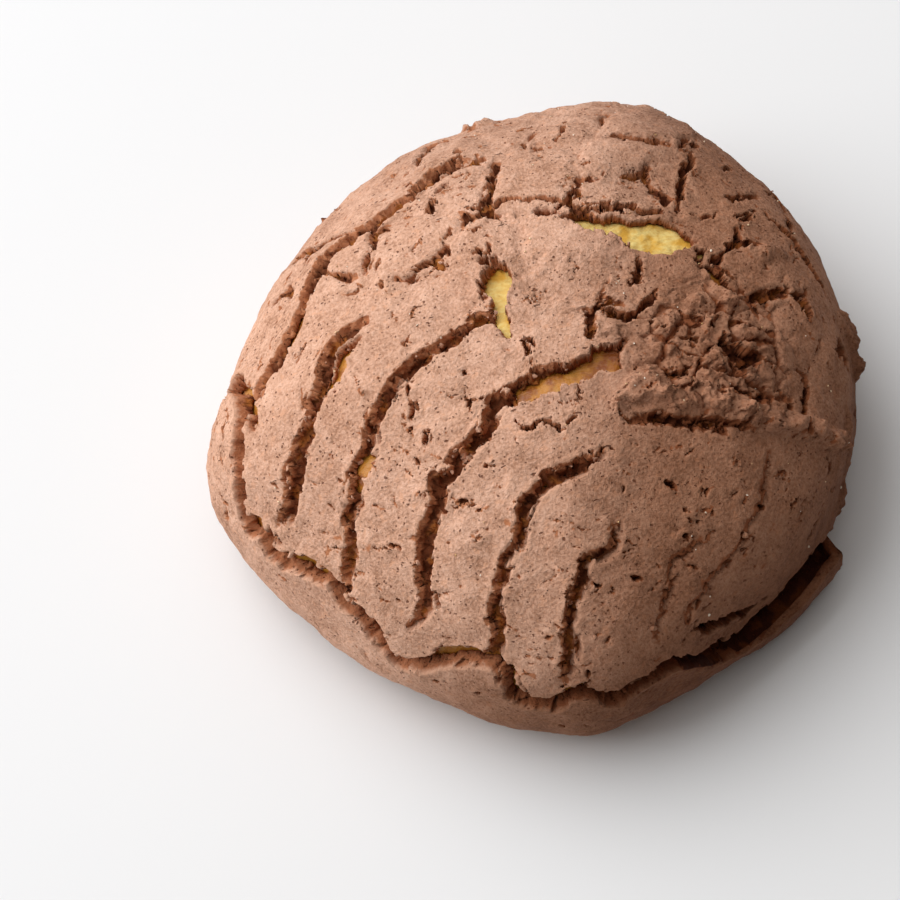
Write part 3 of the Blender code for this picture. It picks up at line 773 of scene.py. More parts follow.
@dataclass(frozen=True)
class SmallCracks:
    """Short cracks that dry paste shows all over, most of them nearly level.

    Tilt is the spread of their slope in radians, bend that of their middle as
    a share of their length. The ranges are a start and a width.
    """

    count: int = 560
    seed: int = Seed.SMALL_CRACKS
    shortest: float = 0.0016
    longest: float = 0.0046
    half_width: float = 0.00009
    half_range: tuple[float, float] = (0.7, 0.9)
    depth: float = 0.0011
    depth_range: tuple[float, float] = (0.6, 0.6)
    nearest: float = 0.05
    farthest: float = 1.10
    reach_range: tuple[float, float] = (0.55, 0.45)
    tilt: float = 0.5
    bend: float = 0.04
    radius_share: float = 1.15
    least_turn_reach: float = 0.12

    def lines(self, form: DomeForm) -> Iterable[Groove]:
        """Cracks by a seeded rule.

        Args:
            form: the dome that they lie on.

        Yields:
            One groove at a time.
        """
        draw = np.random.default_rng(self.seed)
        radius = form.height * self.radius_share
        for _ in range(self.count):
            outward = self.farthest * math.sqrt(draw.random()) * spread_out(draw, self.reach_range)
            reach = self.nearest + outward
            bearing = 360.0 * draw.random()
            length = self.shortest + (self.longest - self.shortest) * draw.random() ** 2
            tilt = draw.normal(0.0, self.tilt)
            turn = math.degrees(length * math.cos(tilt) / (radius * max(reach, self.least_turn_reach)))
            fall = length * math.sin(tilt) / form.reach_length
            bend = draw.normal(0.0, self.bend) * length / form.reach_length
            knots = (
                (bearing - turn / 2.0, reach - fall / 2.0),
                (bearing, reach + bend),
                (bearing + turn / 2.0, reach + fall / 2.0),
            )
            half = self.half_width * spread_out(draw, self.half_range)
            depth = self.depth * spread_out(draw, self.depth_range)
            yield Groove(GrooveKind.CRACK, half, depth, knots)


@dataclass(frozen=True)
class Plates:
    """Plates that the dry paste has cracked into.

    Cracks show where a noise is above spared, and sooner among the upper
    plates, which also stand at different heights. Those lie from upper_start
    along upper_way and above upper_height.
    """

    size: float = 0.0130
    half: float = 0.00022
    half_range: tuple[float, float] = (0.4, 1.2)
    wall: float = 0.00036
    crack: float = 0.0018
    step: float = 0.0010
    step_levels: int = 9
    step_base: float = 0.35
    step_run: float = 0.0020
    patch_share: float = 0.8
    spared: float = 0.36
    upper_extra: float = 0.33
    onset: float = 0.16
    upper_way: tuple[float, float] = (0.5, 0.87)
    upper_start: float = -0.006
    upper_run: float = 0.012
    upper_height: float = 0.020
    upper_climb: float = 0.010
    unroll_depth: float = 0.012
    unroll_radius: float = 0.065

    def read(self, form: DomeForm, points: np.ndarray, bend: np.ndarray) -> tuple[np.ndarray, np.ndarray]:
        """Height of the plates and the cracks between them.

        Args:
            form: the dome that they lie on.
            points: places on the smooth dome.
            bend: offsets that make the plates' edges ragged.

        Returns:
            The height in metres, and the cracks from 0 to 1.
        """
        flat = self.unrolled(form, points) + bend * (1.0, 1.0, 0.0)
        first, second, owner = Cells(Seed.PLATES, flat=True).nearest_two(flat, self.size)
        away = (second - first) * self.size / 2.0
        upper = self.upper(points)
        patch = Noise(Seed.PLATE_PATCHES).at(points, self.size * self.patch_share)
        present = smooth_step((patch - self.spared + self.upper_extra * upper) / self.onset)
        half = self.half * (self.half_range[0] + self.half_range[1] * present)
        gap = present * (1.0 - smooth_step((away - half) / self.wall))
        level = (owner % self.step_levels) / (self.step_levels - 1.0) - self.step_base
        return self.step * (level * smooth_step(away / self.step_run)) * upper, gap

    def upper(self, points: np.ndarray) -> np.ndarray:
        """Mask of the upper plates, from 0 to 1."""
        along = self.upper_way[0] * points[:, 0] + self.upper_way[1] * points[:, 1]
        beyond = smooth_step((along - self.upper_start) / self.upper_run)
        return beyond * smooth_step((points[:, 2] - self.upper_height) / self.upper_climb)

    def unrolled(self, form: DomeForm, points: np.ndarray) -> np.ndarray:
        """Places laid flat around the crown, their heights 0.

        Args:
            form: the dome that they lie on.
            points: places on the smooth dome.

        Returns:
            One flat place for each point.
        """
        level = points[:, :2] - np.array([form.centre_x, form.centre_y])
        radius = np.linalg.norm(level, axis=1) + 1e-9
        turn = np.arctan2(radius, points[:, 2] + self.unroll_depth)
        flat = level * (self.unroll_radius * turn / radius)[:, None]
        return np.column_stack([flat, np.zeros(len(points))])


@dataclass(frozen=True)
class Clumps:
    """Crumbly lumps beside the crown plate.

    Each lump is round on top, carries smaller ones and stands at one of some
    levels. Every second lump is split from its neighbours, and one in
    fine_every of the smaller ones a little.
    """

    height: float = 0.0013
    size: float = 0.0060
    fine_share: float = 0.42
    crack: float = 0.0020
    bearing: float = 344.0
    reach: float = 0.34
    radius: float = 0.0145
    full_share: float = 1.3
    bend: float = 0.0012
    bend_size: float = 0.0035
    roundness: float = 0.7
    fine_roundness: float = 0.25
    levels: int = 7
    level_weight: float = 0.9
    fine_every: int = 5
    fine_level_weight: float = 0.30
    seam: float = 0.26
    fine_seam: float = 0.20
    fine_split: float = 0.30

    def read(self, form: DomeForm, points: np.ndarray) -> tuple[np.ndarray, np.ndarray]:
        """Height of the lumps and the splits between them.

        Args:
            form: the dome that they lie on.
            points: places on the smooth dome.

        Returns:
            The height, about -0.5 to 0.5, and the splits from 0 to 1.
        """
        centre = form.points(np.array([math.radians(self.bearing)]), np.array([self.reach]))[0]
        spread = smooth_step(self.full_share - np.linalg.norm(points - centre, axis=1) / self.radius)
        near = np.nonzero(spread > 0.0)[0]
        clump = np.zeros(len(points))
        split = np.zeros(len(points))
        bent = points[near] + Noise(Seed.LUMP_BENDS).shift(points[near], self.bend_size, self.bend)
        coarse, second, owner = Cells(Seed.LUMPS).nearest_two(bent, self.size)
        fine, next_fine, inner = Cells(Seed.FINE_LUMPS).nearest_two(bent, self.size * self.fine_share)
        level = (owner % self.levels) / (self.levels - 1.0) - 0.5
        fine_level = (inner % self.fine_every) / (self.fine_every - 1.0) - 0.5
        rounded = 0.5 - self.roundness * coarse ** 2 + self.fine_roundness * (0.5 - fine ** 2)
        stacked = rounded + self.level_weight * level + self.fine_level_weight * fine_level
        clump[near] = stacked * spread[near]
        seam = 1.0 - smooth_step((second - coarse) / self.seam)
        fine_seam = self.fine_split * (1.0 - smooth_step((next_fine - fine) / self.fine_seam))
        chosen = inner % self.fine_every == 0
        split[near] = np.maximum(seam * (owner % 2), fine_seam * chosen) * spread[near]
        return clump, split


@dataclass(frozen=True)
class CutShape:
    """Shape of every cut and bulge, lengths in metres.

    A cut deeper than deep has a lip along its edges. It is worked out to a margin past its walls. At its
    ends it keeps tip_width of its width and tip_depth of its depth. Its painted shade is full from
    dark_depth on.
    """

    deep: float = 0.0015
    deep_margin: float = 0.0020
    margin: float = 0.0002
    tip_length: float = 0.0035
    tip_share: float = 0.24
    least_tip: float = 0.0001
    tip_width: float = 0.25
    tip_depth: float = 0.45
    right_power: float = 0.8
    dark_depth: float = 0.0010
    lip_place: float = 0.95
    lip_width: float = 0.0007
    slump_reach: float = 0.009
    slump_fall: float = 0.0030
    slump_end: float = 0.004
    bulge_reach: float = 2.0
    bulge_top: float = 0.35
    bulge_side: float = 1.25


@dataclass(frozen=True)
class PasteRelief:
    """Height of the real paste surface over the smooth dome.

    Where one noise is read again, the points are moved first by a plain
    offset, so that its patterns differ. The swells are height, width and
    offset.
    """

    form: DomeForm
    swells: tuple[Triple, ...] = ((0.00135, 0.021, 0.0), (0.00075, 0.0075, 0.5), (0.00030, 0.0021, 0.9))
    wander: float = 0.0007
    wander_size: float = 0.0055
    fray: float = 0.00044
    fray_size: float = 0.0015
    chip: float = 0.00034
    chip_size: float = 0.0027
    small_chip: float = 0.00013
    small_chip_size: float = 0.0013
    rubble: float = 0.0015
    rubble_size: float = 0.0017
    rubble_level: float = 0.70
    rubble_every: int = 3
    rubble_rest: float = 0.15
    rubble_from: float = 0.5
    rubble_run: float = 0.4
    lip_height: float = 0.00025
    wall_height: float = 0.0026
    wall_crag: float = 0.0013
    wall_crag_size: float = 0.0012
    ridge_share: float = 0.85
    ridge_crags: float = 1.5
    ridge_crag_size: float = 0.0032
    closed_depth: float = 0.00240
    open_share: float = 0.35
    floor_relief: float = 0.0007
    floor_relief_size: float = 0.0013
    split_dark: float = 0.9
    gap_dark: float = 1.3
    hollow_rough: float = 1.4
    clump_rough: float = 0.7
    full_rough_height: float = 0.0045
    plates: Plates = field(default_factory=Plates)
    clumps: Clumps = field(default_factory=Clumps)
    shape: CutShape = field(default_factory=CutShape)
    small_cracks: SmallCracks = field(default_factory=SmallCracks)

    def read(self, points: np.ndarray) -> SurfaceReading:
        """Relief and its masks.

        Args:
            points: places on the smooth dome.

        Returns:
            The height in metres and three masks from 0 to 1.
        """
        noise = Noise(Seed.PASTE)
        swell = np.zeros(len(points))
        for height, size, offset in self.swells:
            swell += height * noise.at(points + offset, size)
        bent = points + noise.shift(points, self.wander_size, self.wander)
        bent += noise.shift(points + 0.3, self.fray_size, self.fray)
        bent += Cells(Seed.CHIPS).chips(bent, self.chip_size, self.chip)
        bent += Cells(Seed.SMALL_CHIPS).chips(bent, self.small_chip_size, self.small_chip)
        ridge = self.ridge_share + self.ridge_crags * noise.at(points + 2.1, self.ridge_crag_size)
        layers = self.grooves(PointBins(bent), ridge)
        lip = layers["lip"]
        opened = layers["open"]
        clump, split = self.clumps.read(self.form, points)
        plate, gap = self.plates.read(self.form, points, bent - points)
        swell += plate
        low = np.minimum(layers["low"], -self.clumps.crack * split)
        low = np.minimum(low, -self.plates.crack * gap)
        # Painted shade in the splits between lumps and the cracks between plates.
        dark = np.maximum(self.split_dark * split ** 2, smooth_step(self.gap_dark * gap))
        hollow = np.maximum(layers["hollow"], dark)
        floor = smooth_step((hollow - self.rubble_from) / self.rubble_run) * (1.0 - opened)
        height = (swell + layers["raised"]) * (1.0 - opened) + low
        height += self.rubble * self.rubble_pieces(points) * floor
        slope = np.clip(-low / self.wall_height, 0.0, 1.0)
        height += self.wall_crag * noise.at(points + 1.7, self.wall_crag_size) * 4.0 * slope * (1.0 - slope)
        height += self.lip_height * lip * (1.0 - hollow)
        height += self.clumps.height * clump
        bottom = self.floor_relief * noise.at(points + 1.3, self.floor_relief_size) - self.closed_depth
        height = np.where(opened < self.open_share, np.maximum(height, bottom), height)
        rough = self.hollow_rough * hollow + self.clump_rough * np.abs(clump)
        rough = np.clip(rough + layers["raised"] / self.full_rough_height, 0.0, 1.0)
        return SurfaceReading(height, hollow, lip, rough)

    def rubble_pieces(self, points: np.ndarray) -> np.ndarray:
        """Height of broken pieces in the grooves, every third one large."""
        lump, _, owner = Cells(Seed.RUBBLE).nearest_two(points, self.rubble_size)
        weight = np.where(owner % self.rubble_every == 0, 1.0, self.rubble_rest)
        return (self.rubble_level - np.clip(lump, 0.0, 1.0) ** 2) * weight

    def grooves(self, bins: PointBins, ridge: np.ndarray) -> dict[str, np.ndarray]:
        """All the bulges and cuts together.

        Args:
            bins: the sorted bent places.
            ridge: what the height of the bulges is multiplied by.

        Returns:
            Depths, raised heights and masks by name.
        """
        layers = {name: np.zeros(len(ridge)) for name in ("low", "raised", "lip", "open", "hollow")}
        for groove in BULGES:
            self.raise_up(bins, groove, layers["raised"])
        layers["raised"] *= ridge
        grooves = [*SCORE_LINES, *CRACK_LINES, *LEDGE_LINES, *GAP_LINES, TEAR_LINE]
        for groove in itertools.chain(grooves, self.small_cracks.lines(self.form)):
            self.cut(bins, groove, layers)
        return layers

    def raise_up(self, bins: PointBins, groove: Groove, raised: np.ndarray) -> None:
        """Add one bulge to the running height.

        Args:
            bins: the sorted bent places.
            groove: the bulge, its depth below zero.
            raised: height so far, changed in place.
        """
        track = Track(self.form, groove)
        near, away, _, sample = track.read(bins, track.half.max() * self.shape.bulge_reach)
        share = away / track.half[sample]
        fall = smooth_step((share - self.shape.bulge_top) / self.shape.bulge_side)
        raised[near] -= groove.depth * (1.0 - fall)

    def cut(self, bins: PointBins, groove: Groove, layers: Mapping[str, np.ndarray]) -> None:
        """Sink one groove into the running arrays.

        Args:
            bins: the sorted bent places.
            groove: the line to cut.
            layers: depths, raised heights and masks so far by name, changed in place.
        """
        shape = self.shape
        track = Track(self.form, groove)
        walls = WALLS[groove.kind]
        deep = groove.depth > shape.deep
        margin = shape.deep_margin if deep else shape.margin
        reach = track.half.max() + max(walls.left, walls.right) + margin
        if walls.slump > 0.0:
            reach = shape.slump_reach
        near, away, side, sample = track.read(bins, reach)
        if len(near) == 0:
            return
        torn = groove.kind is GrooveKind.TEAR
        run = np.where(side > 0.0, walls.left, walls.right)
        length = track.along[-1]
        ends = np.minimum(track.along[sample], length - track.along[sample])
        tip = min(shape.tip_length, length * shape.tip_share + shape.least_tip)
        fade = np.ones(len(near)) if torn else smooth_step(ends / tip)
        half = track.half[sample] * (shape.tip_width + (1.0 - shape.tip_width) * fade)
        bank = np.clip((away - half) / run, 0.0, 1.0)
        bank = np.where(side > 0.0, smooth_step(bank), bank ** shape.right_power)
        depth = groove.depth * (1.0 - bank) * (shape.tip_depth + (1.0 - shape.tip_depth) * fade)
        layers["low"][near] = np.minimum(layers["low"][near], -depth)
        # Painted shade of the groove: it follows the depth, climbs the left wall of a score, and is weaker
        # in shallow cuts.
        dark = depth / groove.depth
        if walls.painted_shade_share < 1.0:
            climb = (away - half) / (walls.left * walls.painted_shade_share)
            dark = np.where(side > 0.0, (1.0 - smooth_step(climb)) * fade, np.sqrt(dark))
        elif groove.kind is GrooveKind.CRACK:
            dark = np.sqrt(dark)
        dark *= min(1.0, groove.depth / shape.dark_depth)
        layers["hollow"][near] = np.maximum(layers["hollow"][near], dark)
        if deep:
            edge = np.exp(-((away - half - run * shape.lip_place) / shape.lip_width) ** 2) * fade
            layers["lip"][near] = np.maximum(layers["lip"][near], edge)
        if walls.slump > 0.0:
            end = smooth_step((reach - away) / shape.slump_end)
            sag = walls.slump * np.exp(-away / shape.slump_fall) * end
            layers["raised"][near] -= sag * (side > 0.0) * fade
        if groove.kind in (GrooveKind.WINDOW, GrooveKind.PEEP, GrooveKind.TEAR):
            layers["open"][near] = np.maximum(layers["open"][near], (1.0 - bank) * fade)


@dataclass(frozen=True)
class PasteBody:
    """Sizes of the sugar paste on the dough.

    The paste is thickness thick down to the reach thin_from, and
    edge_thickness from thin_run farther on.

    The lower strip comes away from the bun towards its free end: stand_out is
    how far its outer face is out, moat how wide the open hollow behind it is
    in reach, and lift how far its top edge stands up, all by bearing. The
    wall behind the hollow takes up one ramp of reach, and the steps with
    ramp or ramps in their name are counted in ramps from it.
    """

    thickness: float = 0.0031
    edge_thickness: float = 0.0016
    thin_from: float = 0.95
    thin_run: float = 0.40
    gap: float = 0.00034
    edge_reach: float = 1.25
    edge_wander: float = 0.05
    edge_wander_size: float = 0.012
    edge_fray: float = 0.012
    edge_fray_size: float = 0.003
    bearings: tuple[float, ...] = (284.0, 294.0, 304.0, 314.0, 326.0, 333.0)
    stand_out: tuple[float, ...] = (0.0, 0.0018, 0.0038, 0.0052, 0.0060, 0.0)
    moat: tuple[float, ...] = (0.0, 0.030, 0.060, 0.085, 0.090, 0.0)
    lift: tuple[float, ...] = (0.0, 0.0008, 0.0026, 0.0040, 0.0046, 0.0)
    least_moat: float = 0.004
    least_face: float = 0.01
    wall_share: float = 0.68
    ramp: float = 0.011
    strip_ramps: float = 4.2
    face_ramps: float = 3.0
    lift_ramp: float = 1.0
    outer_ramp: float = 2.0
    floor_ramp: float = 0.5
    shade_ramp: float = 1.3

    def depth(self, reach: np.ndarray) -> np.ndarray:
        """Thickness of the paste at each reach."""
        share = smooth_step((reach - self.thin_from) / self.thin_run)
        return self.thickness * (1.0 - share) + self.edge_thickness * share

    def edge(self, girth: np.ndarray) -> np.ndarray:
        """Reach of the paste's lower edge.

        Args:
            girth: the place on the girth at each bearing.

        Returns:
            One reach for each place.
        """
        wander = self.edge_wander * Noise(Seed.EDGE).at(girth, self.edge_wander_size)
        fray = self.edge_fray * Noise(Seed.EDGE_FRAY).at(girth, self.edge_fray_size)
        return self.edge_reach + wander + fray

    def by_bearing(self, bearing: np.ndarray, values: Sequence[float]) -> np.ndarray:
        """A size of the strip read at each bearing in radians."""
        return np.interp(np.degrees(bearing) % 360.0, self.bearings, values)

    def tear_reach(self, bearing: np.ndarray) -> np.ndarray:
        """Reach of the tear at each bearing in radians."""
        line = np.array([knot[:2] for knot in TEAR_LINE.knots[1:-1]])
        return np.interp(np.degrees(bearing) % 360.0, line[:, 0], line[:, 1])

    def free_strip(self, bearing: np.ndarray, reach: np.ndarray, edge: np.ndarray) -> tuple[np.ndarray, ...]:
        """How the strip comes away from the dome.

        Args:
            bearing: angle about +Z from +X, in radians.
            reach: reach of each point.
            edge: reach of the paste's lower edge at that bearing.

        Returns:
            How far each point is out, how far up, and masks of the hollow's floor and shade.
        """
        tear = self.tear_reach(bearing)
        moat = self.by_bearing(bearing, self.moat)
        wall = np.minimum(tear + moat, edge - self.strip_ramps * self.ramp)
        step = (reach - wall) / self.ramp
        outer = (1.0 - self.wall_share) * smooth_step(step - self.outer_ramp)
        share = self.wall_share * smooth_step(step) + outer
        face = (edge - reach) / np.maximum(edge - wall - self.face_ramps * self.ramp, self.least_face)
        raised = smooth_step(step - self.lift_ramp) * np.clip(face, 0.0, 1.0)
        up = self.by_bearing(bearing, self.lift) * raised
        inside = (reach > tear) & (moat > self.least_moat)
        floor = inside * (1.0 - smooth_step(step / self.floor_ramp))
        shade = inside * (1.0 - smooth_step(step - self.shade_ramp))
        return self.by_bearing(bearing, self.stand_out) * share, up, floor, shade


def ring_mesh(name: str, rings: np.ndarray, round_steps: int, top: np.ndarray,
              bottom: np.ndarray) -> bpy.types.Mesh:
    """A closed mesh of stacked rings, shut by a point at each end.

    Args:
        name: name of the mesh.
        rings: points, ring by ring from the crown down.
        round_steps: points in one ring.
        top: the point above the first ring.
        bottom: the point below the last ring.

    Returns:
        The new mesh.
    """
    count = len(rings) // round_steps
    step = np.arange(round_steps)
    after = (step + 1) % round_steps
    starts = (np.arange(count - 1) * round_steps)[:, None]
    below = starts + round_steps
    quads = np.stack([starts + step, below + step, below + after, starts + after], axis=-1)
    quads = quads.reshape(-1, 4)
    crown = len(rings)
    last = (count - 1) * round_steps
    cap = np.stack([np.full(round_steps, crown), step, after], axis=-1)
    base = np.stack([np.full(round_steps, crown + 1), last + after, last + step], axis=-1)
    corners = np.concatenate([quads.ravel(), cap.ravel(), base.ravel()])
    sizes = np.concatenate([np.full(len(quads), 4), np.full(2 * round_steps, 3)])
    verts = np.concatenate([rings, top[None], bottom[None]])
    mesh = bpy.data.meshes.new(name)
    mesh.vertices.add(len(verts))
    mesh.vertices.foreach_set("co", verts.astype(np.float32).ravel())
    mesh.loops.add(len(corners))
    mesh.loops.foreach_set("vertex_index", corners.astype(np.int32))
    mesh.polygons.add(len(sizes))
    mesh.polygons.foreach_set("loop_start", np.concatenate([[0], np.cumsum(sizes)[:-1]]).astype(np.int32))
    mesh.update(calc_edges=True)
    return mesh


def mesh_points(mesh: bpy.types.Mesh) -> np.ndarray:
    """Vertex places of a mesh as rows."""
    flat = np.empty(len(mesh.vertices) * 3, dtype=np.float32)
    mesh.vertices.foreach_get("co", flat)
    return flat.reshape(-1, 3).astype(float)


def add_object(name: str, mesh: bpy.types.Mesh) -> bpy.types.Object:
    """Link a mesh into the scene under a name."""
    piece = bpy.data.objects.new(name, mesh)
    bpy.context.scene.collection.objects.link(piece)
    return piece


def settle(piece: bpy.types.Object) -> None:
    """Turn a piece's modifiers into its own mesh."""
    graph = bpy.context.evaluated_depsgraph_get()
    graph.update()
    mesh = bpy.data.meshes.new_from_object(piece.evaluated_get(graph))
    piece.modifiers.clear()
    old = piece.data
    piece.data = mesh
    bpy.data.meshes.remove(old)


def thin_out(piece: bpy.types.Object, triangles: int) -> None:
    """Bring a dense piece down to about a number of triangles.

    Args:
        piece: the piece to change.
        triangles: how many it keeps.
    """
    now = sum(len(face.vertices) - 2 for face in piece.data.polygons)
    fewer = piece.modifiers.new("fewer", "DECIMATE")
    fewer.ratio = min(1.0, triangles / now)
    fewer.use_collapse_triangulate = True
    settle(piece)


def shade_smooth(mesh: bpy.types.Mesh) -> None:
    """Give every face a smooth shade."""
    mesh.polygons.foreach_set("use_smooth", np.ones(len(mesh.polygons), dtype=bool))
    mesh.update()


def largest_bodies(mesh: bpy.types.Mesh, count: int) -> list[bpy.types.Mesh]:
    """The largest closed bodies of a mesh, each as a mesh of its own.

    Args:
        mesh: the mesh to take apart.
        count: how many bodies to keep.

    Returns:
        The bodies, largest first.
    """
    edges = np.empty(len(mesh.edges) * 2, dtype=np.int32)
    mesh.edges.foreach_get("vertices", edges)
    first, second = edges.reshape(-1, 2).T
    label = np.arange(len(mesh.vertices))
    while True:
        low = np.minimum(label[first], label[second])
        np.minimum.at(label, first, low)
        np.minimum.at(label, second, low)
        label = label[label]
        if (label[first] == label[second]).all():
            break
    names, sizes = np.unique(label, return_counts=True)
    bodies = []
    for name in names[np.argsort(-sizes)][:count]:
        body = bmesh.new()
        body.from_mesh(mesh)
        body.verts.ensure_lookup_table()
        extra = [body.verts[int(index)] for index in np.nonzero(label != name)[0]]
        bmesh.ops.delete(body, geom=extra, context="VERTS")
        part = bpy.data.meshes.new("body")
        body.to_mesh(part)
        body.free()
        bodies.append(part)
    return bodies


class Value:
    """A shader socket that can be used in arithmetic."""

    def __init__(self, tree: "ShaderTree", socket: bpy.types.NodeSocket) -> None:
        """Wrap a socket.

        Args:
            tree: the tree that holds it.
            socket: an output socket.
        """
        self.tree = tree
        self.socket = socket

    def apply(self, operation: str, *operands: "Value | float", clamp: bool = False) -> "Value":
        """Add one Math node.

        Args:
            operation: the node's operation.
            operands: its inputs in order.
            clamp: whether the result is held between 0 and 1.

        Returns:
            The node's output.
        """
        settings = {"operation": operation, "use_clamp": clamp}
        node = self.tree.add("ShaderNodeMath", settings, dict(enumerate(operands)))
        return Value(self.tree, node.outputs[0])

    def __add__(self, other: "Value | float") -> "Value":
        """Sum."""
        return self.apply("ADD", self, other)

    def __radd__(self, other: float) -> "Value":
        """Sum with a number first."""
        return self.apply("ADD", other, self)

    def __sub__(self, other: "Value | float") -> "Value":
        """Difference."""
        return self.apply("SUBTRACT", self, other)

    def __rsub__(self, other: float) -> "Value":
        """Difference with a number first."""
        return self.apply("SUBTRACT", other, self)

    def __mul__(self, other: "Value | float") -> "Value":
        """Product."""
        return self.apply("MULTIPLY", self, other)

    def __rmul__(self, other: float) -> "Value":
        """Product with a number first."""
        return self.apply("MULTIPLY", other, self)

    def held(self) -> "Value":
        """The value held between 0 and 1."""
        return self.apply("ADD", self, 0.0, clamp=True)

    def above(self, low: float, high: float) -> "Value":
        """Ease from 0 at low to 1 at high.

        Args:
            low: where the result is 0.
            high: where the result is 1.

        Returns:
            A mask from 0 to 1.
        """
        settings = {"interpolation_type": "SMOOTHSTEP"}
        inputs = {"Value": self, "From Min": low, "From Max": high}
        return Value(self.tree, self.tree.add("ShaderNodeMapRange", settings, inputs).outputs[0])


class ShaderTree:
    """The nodes of one material, or of the world."""

    def __init__(self, owner: bpy.types.Material | bpy.types.World) -> None:
        """Start with an empty tree.

        Args:
            owner: what the tree belongs to.
        """
        self.owner = owner
        owner.use_nodes = True
        self.nodes = owner.node_tree.nodes
        self.links = owner.node_tree.links
        self.nodes.clear()

    def add(self, kind: str, settings: Mapping[str, object],
            inputs: Mapping[object, object]) -> bpy.types.Node:
        """Add one node of any type.

        Args:
            kind: the node's type name.
            settings: its own settings, or the stops of a ramp.
            inputs: values or links by socket name or number.

        Returns:
            The node.
        """
        node = self.nodes.new(kind)
        for key, value in settings.items():
            if key == "stops":
                self.set_stops(node.color_ramp, value)
            else:
                setattr(node, key, value)
        for key, value in inputs.items():
            socket = node.inputs[key]
            if isinstance(value, Value):
                self.links.new(value.socket, socket)
            elif isinstance(value, bpy.types.NodeSocket):
                self.links.new(value, socket)
            else:
                socket.default_value = value
        return node

    @staticmethod
    def set_stops(ramp: bpy.types.ColorRamp, stops: Sequence[tuple[float, Color]]) -> None:
        """Give a ramp its stops.

        Args:
            ramp: the ramp to set.
            stops: places and colours.
        """
        while len(ramp.elements) < len(stops):
            ramp.elements.new(0.5)
        for element, (place, color) in zip(ramp.elements, stops):
            element.position = place
            element.color = (*color, 1.0)

    def place(self) -> bpy.types.NodeSocket:
        """Places in the object's own metres."""
        return self.add("ShaderNodeTexCoord", {}, {}).outputs["Object"]

    def axes(self) -> tuple[Value, Value, Value]:
        """The object's own x, y and z in metres."""
        outputs = self.add("ShaderNodeSeparateXYZ", {}, {0: self.place()}).outputs
        return Value(self, outputs[0]), Value(self, outputs[1]), Value(self, outputs[2])

    def tint(self, share: Value, color: bpy.types.NodeSocket, factor: Color) -> bpy.types.NodeSocket:
        """Multiply a colour by a factor where a mask is 1.

        Args:
            share: the mask.
            color: the colour to change.
            factor: what full share multiplies it by.

        Returns:
            The changed colour.
        """
        scale = self.add("ShaderNodeVectorMath", {"operation": "MULTIPLY"}, {0: color, 1: factor})
        return self.mix(share, color, scale.outputs[0])

    def stretched(self, scale: Triple, place: bpy.types.NodeSocket | None = None) -> bpy.types.NodeSocket:
        """Places scaled by axis.

        Args:
            scale: factor for each axis.
            place: coordinates, or None for the object's own.

        Returns:
            The scaled places.
        """
        inputs = {0: place or self.place(), 1: scale}
        return self.add("ShaderNodeVectorMath", {"operation": "MULTIPLY"}, inputs).outputs[0]

    def noise(self, size: float, detail: float = 3.0, roughness: float = 0.5,
              place: bpy.types.NodeSocket | None = None) -> Value:
        """Noise whose swells have a size in metres.

        Args:
            size: width of a swell.
            detail: octaves.
            roughness: strength of the finer octaves.
            place: coordinates, or None for the object's own.

        Returns:
            A value around 0.5.
        """
        inputs = {
            "Vector": place or self.place(),
            "Scale": 1.0 / size,
            "Detail": detail,
            "Roughness": roughness,
        }
        return Value(self, self.add("ShaderNodeTexNoise", {}, inputs).outputs["Fac"])

    def bent(self, size: float, amount: float) -> bpy.types.NodeSocket:
        """Places bent to and fro.

        Args:
            size: width of one bend in metres.
            amount: strength of the bend in metres.

        Returns:
            The bent places.
        """
        place = self.place()
        noise = self.add("ShaderNodeTexNoise", {}, {"Vector": place, "Scale": 1.0 / size, "Detail": 1.0})
        half = {0: noise.outputs["Color"], 1: (0.5, 0.5, 0.5)}
        level = self.add("ShaderNodeVectorMath", {"operation": "SUBTRACT"}, half)
        scaled = {0: level.outputs[0], "Scale": amount}
        shift = self.add("ShaderNodeVectorMath", {"operation": "SCALE"}, scaled)
        moved = self.add("ShaderNodeVectorMath", {"operation": "ADD"}, {0: place, 1: shift.outputs[0]})
        return moved.outputs[0]

    def cells(self, feature: str, size: float, place: bpy.types.NodeSocket) -> Value:
        """Distance in a pattern of cells, in cell widths.

        Args:
            feature: what the distance is measured to.
            size: width of a cell in metres.
            place: coordinates.

        Returns:
            The distance.
        """
        node = self.add("ShaderNodeTexVoronoi", {"feature": feature}, {"Vector": place, "Scale": 1.0 / size})
        return Value(self, node.outputs["Distance"])

    def attribute(self, name: str) -> Value:
        """A value stored on the mesh."""
        node = self.add("ShaderNodeAttribute", {"attribute_name": name}, {})
        return Value(self, node.outputs["Fac"])

    def mix(self, share: Value | float, first: object, second: object) -> bpy.types.NodeSocket:
        """Mix two colours.

        Args:
            share: 0 for the first, 1 for the second.
            first: a colour or a link.
            second: a colour or a link.

        Returns:
            The mixed colour.
        """
        node = self.add("ShaderNodeMix", {"data_type": "RGBA"}, {0: share})
        for index, value in ((6, first), (7, second)):
            if isinstance(value, bpy.types.NodeSocket):
                self.links.new(value, node.inputs[index])
            else:
                node.inputs[index].default_value = (*value, 1.0)
        return node.outputs[2]

    def bump(self, height: Value, distance: float, strength: float) -> bpy.types.NodeSocket:
        """A normal from a height.

        Args:
            height: relief from 0 to 1.
            distance: depth of the relief in metres.
            strength: share of the effect.

        Returns:
            The normal.
        """
        inputs = {"Height": height, "Distance": distance, "Strength": strength}
        return self.add("ShaderNodeBump", {}, inputs).outputs["Normal"]

